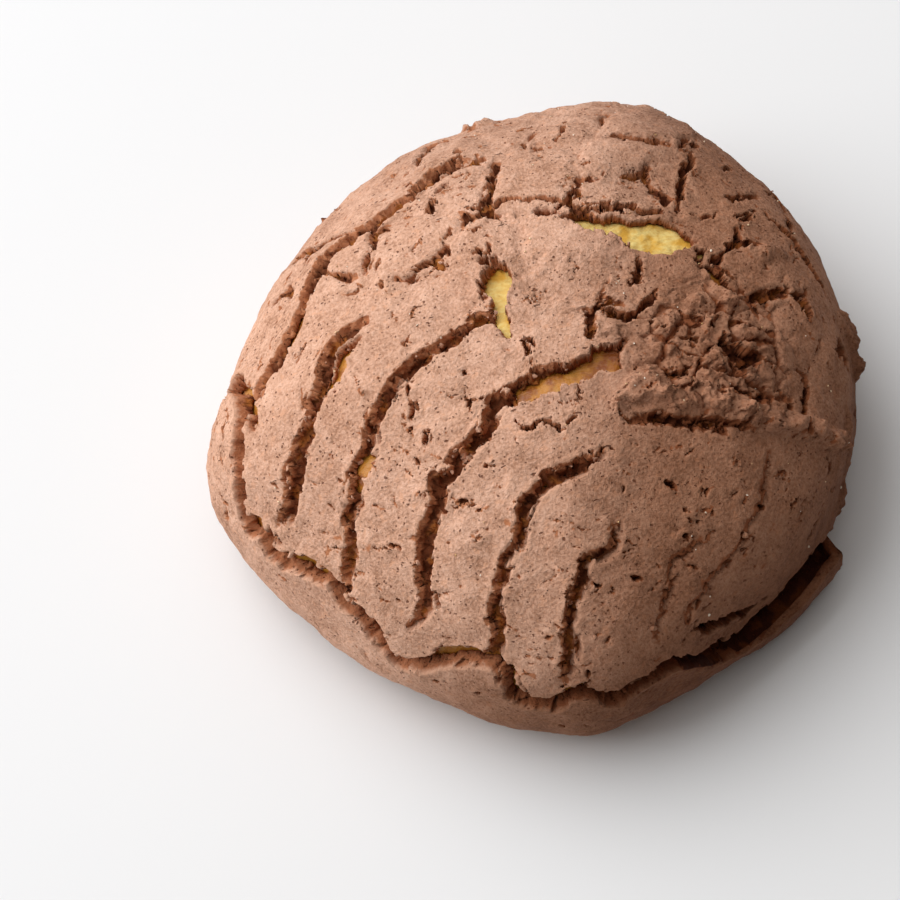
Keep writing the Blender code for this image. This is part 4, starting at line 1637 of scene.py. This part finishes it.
    def finish(self, color: bpy.types.NodeSocket, roughness: Value | float, specular: float,
               normal: bpy.types.NodeSocket | None = None) -> bpy.types.Material:
        """Close the tree with a Principled shader.

        Args:
            color: its base colour.
            roughness: its roughness.
            specular: its specular level.
            normal: its normal, or None for the mesh's own.

        Returns:
            The finished material.
        """
        inputs = {"Base Color": color, "Roughness": roughness, "Specular IOR Level": specular}
        if normal:
            inputs["Normal"] = normal
        shader = self.add("ShaderNodeBsdfPrincipled", {}, inputs)
        self.add("ShaderNodeOutputMaterial", {}, {"Surface": shader.outputs[0]})
        return self.owner


@dataclass(frozen=True)
class PasteFinish:
    """Dry chocolate sugar paste: sandy, mottled, with pores and cracks darkened by painted shade, and
    painted shade on its right side and back.
    """

    name: str = "chocolate_sugar_paste"
    light: Color = (0.770, 0.465, 0.330)
    middle: Color = (0.610, 0.340, 0.228)
    dark: Color = (0.400, 0.200, 0.120)
    edge: Color = (0.720, 0.400, 0.260)
    # Groove colours: the real reddish brown of the paste's broken inside, darkened by painted shade that
    # stands for the shade falling into grooves, cracks and pores.
    wall: Color = (0.450, 0.160, 0.064)
    depth: Color = (0.130, 0.032, 0.010)
    amber: Color = (0.520, 0.180, 0.035)
    fleck: Color = (0.740, 0.380, 0.230)
    # The next three factors are painted shade: they darken the right side, low on it, and the back.
    baked: Color = (0.57, 0.47, 0.395)
    low_painted_shade: Color = (0.50, 0.42, 0.355)
    back_painted_shade: Color = (0.84, 0.82, 0.81)
    blotch_size: float = 0.0085
    cloud_size: float = 0.0024
    grain_size: float = 0.00055
    fleck_size: float = 0.0016
    speck_size: float = 0.00042
    amber_size: float = 0.0042
    pore_size: float = 0.0011
    pore_bend: float = 0.0009
    pore_patch_size: float = 0.0036
    slit_size: float = 0.0019
    slit_bend_size: float = 0.0012
    slit_bend: float = 0.0006
    slit_patch_size: float = 0.0060
    slit_stretch: Triple = (0.24, 1.0, 1.0)
    relief: float = 0.00040
    roughness: float = 0.90
    specular: float = 0.18

    def build(self) -> bpy.types.Material:
        """Make the material."""
        tree = ShaderTree(bpy.data.materials.new(self.name))
        blotch = tree.noise(self.blotch_size, 3.0, 0.55)
        cloud = tree.noise(self.cloud_size, 2.0, 0.5)
        grain = tree.noise(self.grain_size, 2.0, 0.65)
        tone = (blotch - 0.5) * 0.9 + (cloud - 0.5) * 0.7 + (grain - 0.5) * 1.5 + 0.5
        ramp = tree.add(
            "ShaderNodeValToRGB",
            {"stops": ((0.14, self.dark), (0.48, self.middle), (0.86, self.light))},
            {"Fac": tone},
        ).outputs["Color"]
        fleck = tree.noise(self.fleck_size, 1.0, 0.5).above(0.62, 0.72)
        color = tree.mix(fleck * 0.5, ramp, self.fleck)
        speck = tree.noise(self.speck_size, 1.0, 0.5)
        color = tree.mix(speck.above(0.62, 0.72) * 0.55, color, self.fleck)
        color = tree.mix(speck.above(0.37, 0.27) * 0.55, color, self.dark)
        lip = tree.attribute("lip")
        color = tree.mix(lip * 0.45, color, self.edge)
        # Painted shade: grooves, cracks and the hollow behind the strip are darkened by their mask, over the
        # paste's real reddish-brown inside.
        hollow = tree.attribute("hollow")
        color = tree.mix(hollow.above(0.04, 0.24) * 0.85, color, self.wall)
        warm = tree.noise(self.amber_size, 2.0, 0.5).above(0.50, 0.62) * 0.65
        deep = tree.mix(warm, self.depth, self.amber)
        color = tree.mix(hollow.above(0.55, 0.92) * 0.94, color, deep)
        color = self.paint_side_shade(tree, color)
        pit = self.pits(tree)
        # Painted shade in the pores and slits.
        color = tree.mix(pit * 0.78, color, self.depth)
        height = grain * 0.75 + cloud * 0.9 - pit * 1.1
        return tree.finish(color, self.roughness, self.specular, tree.bump(height, self.relief, 1.0))

    def paint_side_shade(self, tree: ShaderTree, color: bpy.types.NodeSocket) -> bpy.types.NodeSocket:
        """Paint shade on the right side, low on it, and on the back.

        Args:
            tree: the material's tree.
            color: the colour to change.

        Returns:
            The changed colour.
        """
        east, north, up = tree.axes()
        # Painted shade on the right side, away from the key light.
        color = tree.tint((east - 0.35 * north).above(0.003, 0.034), color, self.baked)
        low = up.above(0.037, 0.017) * (0.8 * east - north).above(0.012, 0.045)
        color = tree.tint(low, color, self.low_painted_shade)
        return tree.tint(north.above(0.020, 0.050), color, self.back_painted_shade)

    def pits(self, tree: ShaderTree) -> Value:
        """Pores and short level slits, 1 where the paste is open.

        Args:
            tree: the material's tree.

        Returns:
            A mask from 0 to 1.
        """
        pore = tree.cells("F1", self.pore_size, tree.bent(self.pore_size, self.pore_bend))
        size = tree.noise(self.pore_patch_size, 2.0, 0.5).above(0.32, 0.56)
        pore = 1.0 - (pore - 0.13 * size).above(0.02, 0.07)
        level = tree.stretched(self.slit_stretch, tree.bent(self.slit_bend_size, self.slit_bend))
        slit = 1.0 - tree.cells("F1", self.slit_size, level).above(0.055, 0.095)
        cracked = tree.noise(self.slit_patch_size, 2.0, 0.5).above(0.36, 0.46)
        return (slit * cracked + pore * size).held()


@dataclass(frozen=True)
class DoughFinish:
    """Baked dough: yellow crumb where it is torn, glossy brown crust elsewhere."""

    name: str = "baked_dough"
    crumb: Color = (0.740, 0.400, 0.045)
    crumb_light: Color = (0.880, 0.670, 0.230)
    crust: Color = (0.640, 0.270, 0.040)
    crust_dark: Color = (0.330, 0.090, 0.015)
    olive: Color = (0.440, 0.290, 0.040)
    foot: Color = (0.360, 0.140, 0.042)
    blotch_size: float = 0.0040
    strand_size: float = 0.0010
    strand_stretch: Triple = (1.0, 1.8, 0.8)
    patch_size: float = 0.0032
    lump_size: float = 0.0022
    relief: float = 0.0004
    crust_roughness: float = 0.36
    crumb_extra: float = 0.40
    specular: float = 0.5

    def build(self) -> bpy.types.Material:
        """Make the material."""
        tree = ShaderTree(bpy.data.materials.new(self.name))
        torn = tree.attribute("torn")
        blotch = tree.noise(self.blotch_size, 3.0, 0.6)
        strand = tree.noise(self.strand_size, 3.0, 0.6, tree.stretched(self.strand_stretch))
        patch = tree.noise(self.patch_size, 2.0, 0.5)
        crumb = tree.mix(patch.above(0.36, 0.58), self.crumb, self.crumb_light)
        crumb = tree.mix(strand.above(0.62, 0.40) * 0.45, crumb, self.crumb)
        crust = tree.mix(patch.above(0.54, 0.66) * 0.4, self.crust, self.olive)
        crust = tree.mix(blotch.above(0.44, 0.68), crust, self.crust_dark)
        share = (torn + (blotch - 0.5) * 0.9).above(0.45, 0.75)
        color = tree.mix(share, crust, crumb)
        color = tree.mix(tree.attribute("low"), color, self.foot)
        height = strand * 0.7 + tree.noise(self.lump_size, 2.0, 0.5) * 0.5
        roughness = self.crust_roughness + self.crumb_extra * share
        return tree.finish(color, roughness, self.specular, tree.bump(height, self.relief, 0.8))


@dataclass(frozen=True)
class SugarFinish:
    """Clear to honey coloured sugar grains."""

    name: str = "sugar_grain"
    pale: Color = (0.86, 0.74, 0.60)
    honey: Color = (0.75, 0.48, 0.22)
    patch_size: float = 0.004
    roughness: float = 0.28
    specular: float = 0.6

    def build(self) -> bpy.types.Material:
        """Make the material."""
        tree = ShaderTree(bpy.data.materials.new(self.name))
        share = tree.noise(self.patch_size, 1.0, 0.5).above(0.45, 0.60)
        return tree.finish(tree.mix(share, self.pale, self.honey), self.roughness, self.specular)


@dataclass(frozen=True)
class FloorFinish:
    """A plain pale floor."""

    name: str = "pale_floor"
    color: Color = (0.84, 0.84, 0.84)
    darkest: float = 0.985
    patch_size: float = 0.30
    roughness: float = 0.75
    specular: float = 0.2

    def build(self) -> bpy.types.Material:
        """Make the material."""
        tree = ShaderTree(bpy.data.materials.new(self.name))
        darker = tuple(self.darkest * part for part in self.color)
        color = tree.mix(tree.noise(self.patch_size, 1.0, 0.5), self.color, darker)
        return tree.finish(color, self.roughness, self.specular)


@dataclass
class Dough:
    """The bread under the paste, with its flat baked foot.

    It rises under each gap in the paste, and shows torn crumb in the windows.
    """

    form: DomeForm
    body: PasteBody
    round_steps: int = 520
    reach_steps: int = 190
    first_ring: float = 0.03
    triangles: int = 60000
    cutter_triangles: int = 16000
    sink_run: float = 0.12
    swell: float = 0.00045
    swell_size: float = 0.014
    swell_run: float = 0.3
    rise: float = 0.0013
    rise_reach: float = 0.0070
    rise_run: float = 0.0030
    crumb_relief: float = 0.0005
    crumb_size: float = 0.0016
    fine_crumb_share: float = 0.6
    fine_crumb_size: float = 0.0008
    browned_height: float = 0.010
    browned_run: float = 0.008

    def surface(self) -> tuple[np.ndarray, np.ndarray, np.ndarray]:
        """Ring points with two masks.

        Returns:
            The points, how torn each is, and how low on the foot each is.
        """
        turn = np.linspace(0.0, 2.0 * math.pi, self.round_steps, endpoint=False)
        steps = np.linspace(self.first_ring, BASE_REACH, self.reach_steps)
        bearing = np.tile(turn, len(steps))
        reach = np.repeat(steps, self.round_steps)
        points = self.form.points(bearing, reach)
        noise = Noise(Seed.DOUGH)
        below = self.body.depth(reach) + self.body.gap
        sink = below * smooth_step((BASE_REACH - reach) / self.sink_run)
        swell = self.swell * noise.at(points, self.swell_size)
        swell *= smooth_step((BASE_REACH - reach) / self.swell_run)
        puff, torn = self.gap_masks(points)
        crumb = noise.at(points, self.crumb_size)
        crumb += self.fine_crumb_share * noise.at(points + 0.2, self.fine_crumb_size)
        height = swell - sink + self.rise * puff + self.crumb_relief * crumb * torn
        points = points + self.form.normals(bearing, reach) * height[:, None]
        points[:, 2] = np.maximum(points[:, 2], 0.0)
        points[-self.round_steps:, 2] = 0.0
        low = smooth_step((self.browned_height - points[:, 2]) / self.browned_run)
        return points, torn, low

    def gap_masks(self, points: np.ndarray) -> tuple[np.ndarray, np.ndarray]:
        """Where the paste above is open.

        Args:
            points: places on the smooth dome.

        Returns:
            Masks from 0 to 1 of all the gaps, and of those with torn crumb.
        """
        puff = np.zeros(len(points))
        torn = np.zeros(len(points))
        bins = PointBins(points)
        for groove in GAP_LINES:
            track = Track(self.form, groove)
            near, away, _, sample = track.read(bins, self.rise_reach)
            mask = 1.0 - smooth_step((away - track.half[sample]) / self.rise_run)
            puff[near] = np.maximum(puff[near], mask)
            if groove.kind is GrooveKind.WINDOW:
                torn[near] = np.maximum(torn[near], mask)
        return puff, torn

    def solid(self, name: str, points: np.ndarray, triangles: int) -> bpy.types.Object:
        """A closed piece over the ring points.

        Args:
            name: name of the piece.
            points: ring points.
            triangles: how many it keeps.

        Returns:
            The piece.
        """
        top = self.form.crown() - np.array([0.0, 0.0, self.body.thickness + self.body.gap])
        foot = np.array([self.form.centre_x, self.form.centre_y, 0.0])
        piece = add_object(name, ring_mesh(name, points, self.round_steps, top, foot))
        thin_out(piece, triangles)
        return piece

    def build(self) -> tuple[bpy.types.Object, bpy.types.Object]:
        """Make the bread, and the grown copy that hollows the paste.

        Returns:
            The bread and the cutter.
        """
        points, torn, low = self.surface()
        cutter = self.solid("cutter", points, self.cutter_triangles)
        shell = bmesh.new()
        shell.from_mesh(cutter.data)
        shell.normal_update()
        moved = [vert.co + vert.normal * self.body.gap for vert in shell.verts]
        for vert, place in zip(shell.verts, moved):
            vert.co = place
        shell.to_mesh(cutter.data)
        shell.free()
        bread = self.solid("bread", points, self.triangles)
        MaskStore(points, {"torn": torn, "low": low}).write(bread.data)
        shade_smooth(bread.data)
        return bread, cutter


class MaskStore:
    """Values known at dense points, written onto thinner meshes."""

    def __init__(self, points: np.ndarray, masks: Mapping[str, np.ndarray]) -> None:
        """Sort the dense points.

        Args:
            points: the dense points.
            masks: values of the dense points by name.
        """
        self.masks = masks
        self.tree = KDTree(len(points))
        for index, point in enumerate(points):
            self.tree.insert(point, index)
        self.tree.balance()

    def write(self, mesh: bpy.types.Mesh) -> None:
        """Give each vertex the values of the nearest dense point.

        Args:
            mesh: the mesh to write on.
        """
        nearest = np.array([self.tree.find(vert.co)[1] for vert in mesh.vertices])
        for name, values in self.masks.items():
            layer = mesh.attributes.new(name, "FLOAT", "POINT")
            layer.data.foreach_set("value", values[nearest].astype(np.float32))


@dataclass
class Paste:
    """The sugar paste: the topping and the strip torn off below it.

    Rings lie at even steps of reach down to the knee. Below it they are
    stretched to meet the wandering edge, and a last one closes the paste
    inner_depth under the dome.
    """

    form: DomeForm
    body: PasteBody
    relief: PasteRelief
    round_steps: int = 1300
    reach_steps: int = 480
    first_ring: float = 0.010
    knee: float = 0.9
    upper_share: float = 0.66
    inner_depth: float = 0.0080
    foot_height: float = 0.0060
    triangles: int = 206000
    crag: float = 0.0009
    crag_size: float = 0.0019
    crumb: float = 0.0011
    crumb_size: float = 0.0009

    def surface(self) -> tuple[np.ndarray, SurfaceReading]:
        """Ring points, and what the paste is like at the outer ones.

        Returns:
            The points with the inner ring last, and the reading without it.
        """
        upper = int(self.reach_steps * self.upper_share)
        lower = np.linspace(self.knee, 1.0, self.reach_steps - upper + 1)[1:]
        values = np.concatenate([np.linspace(self.first_ring, self.knee, upper), lower])
        turn = np.linspace(0.0, 2.0 * math.pi, self.round_steps, endpoint=False)
        bearing = np.tile(turn, len(values))
        share = np.repeat(values, self.round_steps)
        girth = self.form.points(turn, np.ones(len(turn)))
        edge = np.tile(self.body.edge(girth), len(values))
        stretched = self.knee + (share - self.knee) / (1.0 - self.knee) * (edge - self.knee)
        reach = np.where(share <= self.knee, share, stretched)
        points = self.form.points(bearing, reach)
        normals = self.form.normals(bearing, reach)
        reading = self.relief.read(points)
        side = np.stack([np.cos(bearing), np.sin(bearing), np.zeros(len(bearing))], axis=1)
        out, up, floor, shade = self.body.free_strip(bearing, reach, edge)
        height = np.minimum(reading.height, np.where(floor > 0.5, -TEAR_LINE.depth, 1.0))
        # Painted shade in the hollow behind the torn strip.
        reading.hollow = np.maximum(reading.hollow, shade)
        moved = points + normals * height[:, None] + side * out[:, None]
        moved[:, 2] += up
        rough = reading.rough[:, None]
        moved += rough * Noise(Seed.CRAGS).shift(moved, self.crag_size, self.crag)
        moved += rough * Noise(Seed.FINE_CRAGS).shift(moved, self.crumb_size, self.crumb)
        last = slice(-self.round_steps, None)
        inner = self.form.points(bearing[last], reach[last]) - normals[last] * self.inner_depth
        return np.concatenate([moved, inner]), reading

    def build(self, cutter: bpy.types.Object) -> list[bpy.types.Object]:
        """Make the topping and the strip.

        Args:
            cutter: the grown dough.

        Returns:
            The two pieces.
        """
        points, reading = self.surface()
        LOG.info("paste surface: %d points", len(points))
        crown = self.relief.read(self.form.crown()[None]).height[0]
        top = self.form.crown() + np.array([0.0, 0.0, crown])
        foot = np.array([0.0, 0.0, self.foot_height])
        block = add_object("block", ring_mesh("block", points, self.round_steps, top, foot))
        thin_out(block, self.triangles)
        hollow = block.modifiers.new("hollow", "BOOLEAN")
        hollow.operation = "DIFFERENCE"
        hollow.solver = "MANIFOLD"
        hollow.object = cutter
        settle(block)
        meshes = largest_bodies(block.data, 2)
        bpy.data.objects.remove(block)
        bpy.data.objects.remove(cutter)
        store = MaskStore(points[:-self.round_steps], {"hollow": reading.hollow, "lip": reading.lip})
        pieces = []
        for name, mesh in zip(("sugar_paste", "paste_strip"), meshes):
            store.write(mesh)
            shade_smooth(mesh)
            pieces.append(add_object(name, mesh))
        return pieces


@dataclass
class Grains:
    """Sugar grains or paste crumbs that lie on the bun.

    Those in grooves lie where the mask of hollows is in groove_band, the
    others where it is below open_limit. A grain's widths are flattest to
    flattest + width_range times its size, and it is sunk into the paste.
    """

    form: DomeForm
    count: int
    smallest: float
    largest: float
    seed: int
    in_grooves: bool
    subdivisions: int = 1
    groove_band: tuple[float, float] = (0.25, 0.97)
    open_limit: float = 0.3
    lowest: float = 0.008
    middle_height: float = 0.012
    flattest: float = 0.55
    width_range: float = 0.8
    ragged: float = 0.22
    lift: float = 0.12

    def build(self, name: str, carrier: bpy.types.Object) -> bpy.types.Object:
        """Scatter the grains over a carrier's outer face.

        Args:
            name: name of the piece.
            carrier: what they lie on.

        Returns:
            One joined piece.
        """
        draw = np.random.default_rng(self.seed)
        places = mesh_points(carrier.data)
        normals = np.array([vert.normal for vert in carrier.data.vertices])
        choice = self.free_places(carrier.data, places, normals)
        picked = draw.choice(choice, size=min(self.count, len(choice)), replace=False)
        grain, faces = self.grain()
        verts = []
        for index in picked:
            size = self.smallest + (self.largest - self.smallest) * draw.random() ** 2
            turn = np.linalg.qr(draw.normal(size=(3, 3)))[0]
            widths = self.flattest + self.width_range * draw.random(3)
            shape = grain * widths * (1.0 + self.ragged * draw.normal(size=(len(grain), 1)))
            verts.append(places[index] + normals[index] * size * self.lift + shape @ turn * size * 0.5)
        steps = np.arange(len(picked))[:, None, None] * len(grain)
        made = bpy.data.meshes.new(name)
        made.from_pydata(np.concatenate(verts).tolist(), [], (faces[None] + steps).reshape(-1, 3).tolist())
        return add_object(name, made)

    def free_places(self, mesh: bpy.types.Mesh, places: np.ndarray, normals: np.ndarray) -> np.ndarray:
        """Vertices of the outer face that a grain may lie on.

        Args:
            mesh: the carrier's mesh.
            places: its vertices.
            normals: their directions.

        Returns:
            Indices of the vertices.
        """
        hollow = np.empty(len(mesh.vertices), dtype=np.float32)
        mesh.attributes["hollow"].data.foreach_get("value", hollow)
        centre = np.array([self.form.centre_x, self.form.centre_y, self.middle_height])
        outward = (normals * (places - centre)).sum(axis=1) > 0.0
        low, high = self.groove_band
        wanted = (hollow > low) & (hollow < high) if self.in_grooves else hollow < self.open_limit
        return np.nonzero(outward & wanted & (places[:, 2] > self.lowest))[0]

    def grain(self) -> tuple[np.ndarray, np.ndarray]:
        """Corner places and faces of a plain round grain."""
        body = bmesh.new()
        bmesh.ops.create_icosphere(body, subdivisions=self.subdivisions, radius=1.0)
        body.verts.ensure_lookup_table()
        verts = np.array([tuple(vert.co) for vert in body.verts])
        faces = np.array([[vert.index for vert in face.verts] for face in body.faces])
        body.free()
        return verts, faces


@dataclass
class Studio:
    """Camera, floor and soft light."""

    form: DomeForm
    elevation: float = 60.0
    roll: float = -12.0
    distance: float = 0.600
    target_height: float = 0.020
    pixel: float = 0.0001785
    frame_pixels: int = 900
    target_pixel: tuple[float, float] = (536.8, 423.0)
    sensor: float = 36.0
    near_limit: float = 0.01
    floor_size: float = 6.0
    floor_squares: int = 8
    key_bearing: float = 147.0
    key_elevation: float = 44.0
    key_distance: float = 1.0
    key_size: float = 1.6
    key_power: float = 13.0
    key_color: Color = (0.98, 1.0, 1.03)
    sky_bearing: float = 140.0
    sky_elevation: float = 63.0
    sky_edge: float = 0.15
    sky_light: Color = (0.90, 0.88, 0.86)
    sky_dark: Color = (0.012, 0.006, 0.003)

    def build(self) -> None:
        """Make everything around the bun."""
        view = bpy.context.scene.view_settings
        view.view_transform = "Standard"
        view.look = "None"
        view.exposure = 0.0
        view.gamma = 1.0
        self.make_camera()
        self.make_floor()
        self.make_light()
        self.make_sky()

    def target(self) -> Vector:
        """The point that the camera aims at."""
        return Vector((self.form.centre_x, self.form.centre_y, self.target_height))

    def make_camera(self) -> None:
        """Set the camera at the photograph's angle."""
        rise = math.radians(self.elevation)
        back = Vector((0.0, -math.cos(rise), math.sin(rise)))
        level = Vector((1.0, 0.0, 0.0))
        upright = back.cross(level)
        turn = math.radians(self.roll)
        right = math.cos(turn) * level + math.sin(turn) * upright
        up = -math.sin(turn) * level + math.cos(turn) * upright
        data = bpy.data.cameras.new("photo_camera")
        camera = bpy.data.objects.new("photo_camera", data)
        bpy.context.scene.collection.objects.link(camera)
        place = self.target() + back * self.distance
        camera.matrix_world = Matrix((
            (right.x, up.x, back.x, place.x),
            (right.y, up.y, back.y, place.y),
            (right.z, up.z, back.z, place.z),
            (0.0, 0.0, 0.0, 1.0),
        ))
        data.sensor_width = self.sensor
        data.lens = self.distance / self.pixel * self.sensor / self.frame_pixels
        half = self.frame_pixels / 2.0
        data.shift_x = (half - self.target_pixel[0]) / self.frame_pixels
        data.shift_y = (self.target_pixel[1] - half) / self.frame_pixels
        data.clip_start = self.near_limit
        bpy.context.scene.camera = camera

    def make_floor(self) -> None:
        """Lay the floor."""
        body = bmesh.new()
        squares = self.floor_squares
        bmesh.ops.create_grid(body, x_segments=squares, y_segments=squares, size=self.floor_size / 2.0)
        mesh = bpy.data.meshes.new("floor")
        body.to_mesh(mesh)
        body.free()
        mesh.materials.append(FloorFinish().build())
        add_object("floor", mesh)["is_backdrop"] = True

    def make_light(self) -> None:
        """Hang the large soft key light."""
        data = bpy.data.lights.new("key", "AREA")
        data.shape = "DISK"
        data.size = self.key_size
        data.energy = self.key_power
        data.color = self.key_color
        lamp = bpy.data.objects.new("key", data)
        bpy.context.scene.collection.objects.link(lamp)
        way = self.direction(self.key_bearing, self.key_elevation)
        lamp.location = self.target() + way * self.key_distance
        lamp.rotation_mode = "QUATERNION"
        lamp.rotation_quaternion = way.to_track_quat("Z", "Y")

    @staticmethod
    def direction(bearing: float, elevation: float) -> Vector:
        """Unit vector towards a bearing and elevation in degrees."""
        turn = math.radians(bearing)
        rise = math.radians(elevation)
        return Vector((math.cos(turn) * math.cos(rise), math.sin(turn) * math.cos(rise), math.sin(rise)))

    def make_sky(self) -> None:
        """Fill the room with light that fades away from the key."""
        world = bpy.data.worlds.new("room")
        tree = ShaderTree(world)
        inputs = {
            0: tree.add("ShaderNodeTexCoord", {}, {}).outputs["Generated"],
            1: self.direction(self.sky_bearing, self.sky_elevation),
        }
        toward = tree.add("ShaderNodeVectorMath", {"operation": "DOT_PRODUCT"}, inputs)
        share = Value(tree, toward.outputs["Value"]).above(self.sky_edge, 1.0)
        color = tree.mix(share, self.sky_dark, self.sky_light)
        light = tree.add("ShaderNodeBackground", {}, {"Color": color})
        tree.add("ShaderNodeOutputWorld", {}, {"Surface": light.outputs[0]})
        bpy.context.scene.world = world


def corners() -> list[list[float]]:
    """The shown model's box as plain lists."""
    return [list(corner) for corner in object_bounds()]


def dress(piece: bpy.types.Object, material: bpy.types.Material, slot: str, *nodes: str) -> None:
    """Give a piece its material and body, and hide the nodes that it stands for.

    Args:
        piece: the piece.
        material: its material.
        slot: not used.
        nodes: CAD nodes that it replaces.
    """
    piece.data.materials.clear()
    piece.data.materials.append(material)
    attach(piece, "root")
    if nodes:
        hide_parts(*nodes)
    LOG.info("%s: %d faces", piece.name, len(piece.data.polygons))


def main() -> None:
    """Build the bread, the paste over it, what lies on it, and the studio."""
    logging.basicConfig(level=logging.INFO, format="%(message)s")
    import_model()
    form = DomeForm()
    body = PasteBody()
    bread, cutter = Dough(form, body).build()
    dress(bread, DoughFinish().build(), "bread_crust", "dough")
    topping, strip = Paste(form, body, PasteRelief(form)).build(cutter)
    paste = PasteFinish().build()
    dress(topping, paste, "chocolate_paste", "topping")
    dress(strip, paste, "chocolate_paste", "lower_strip")
    grains = Grains(form, count=110, smallest=0.00025, largest=0.00050, seed=Seed.SUGAR, in_grooves=False)
    sugar = grains.build("sugar_grains", topping)
    dress(sugar, SugarFinish().build(), "chocolate_paste")
    crumbling = Grains(form, count=420, smallest=0.0003, largest=0.0011, seed=Seed.CRUMBS, in_grooves=True)
    crumbs = crumbling.build("paste_crumbs", topping)
    dress(crumbs, paste, "chocolate_paste")
    Studio(form).build()


if __name__ == "__main__":
    main()
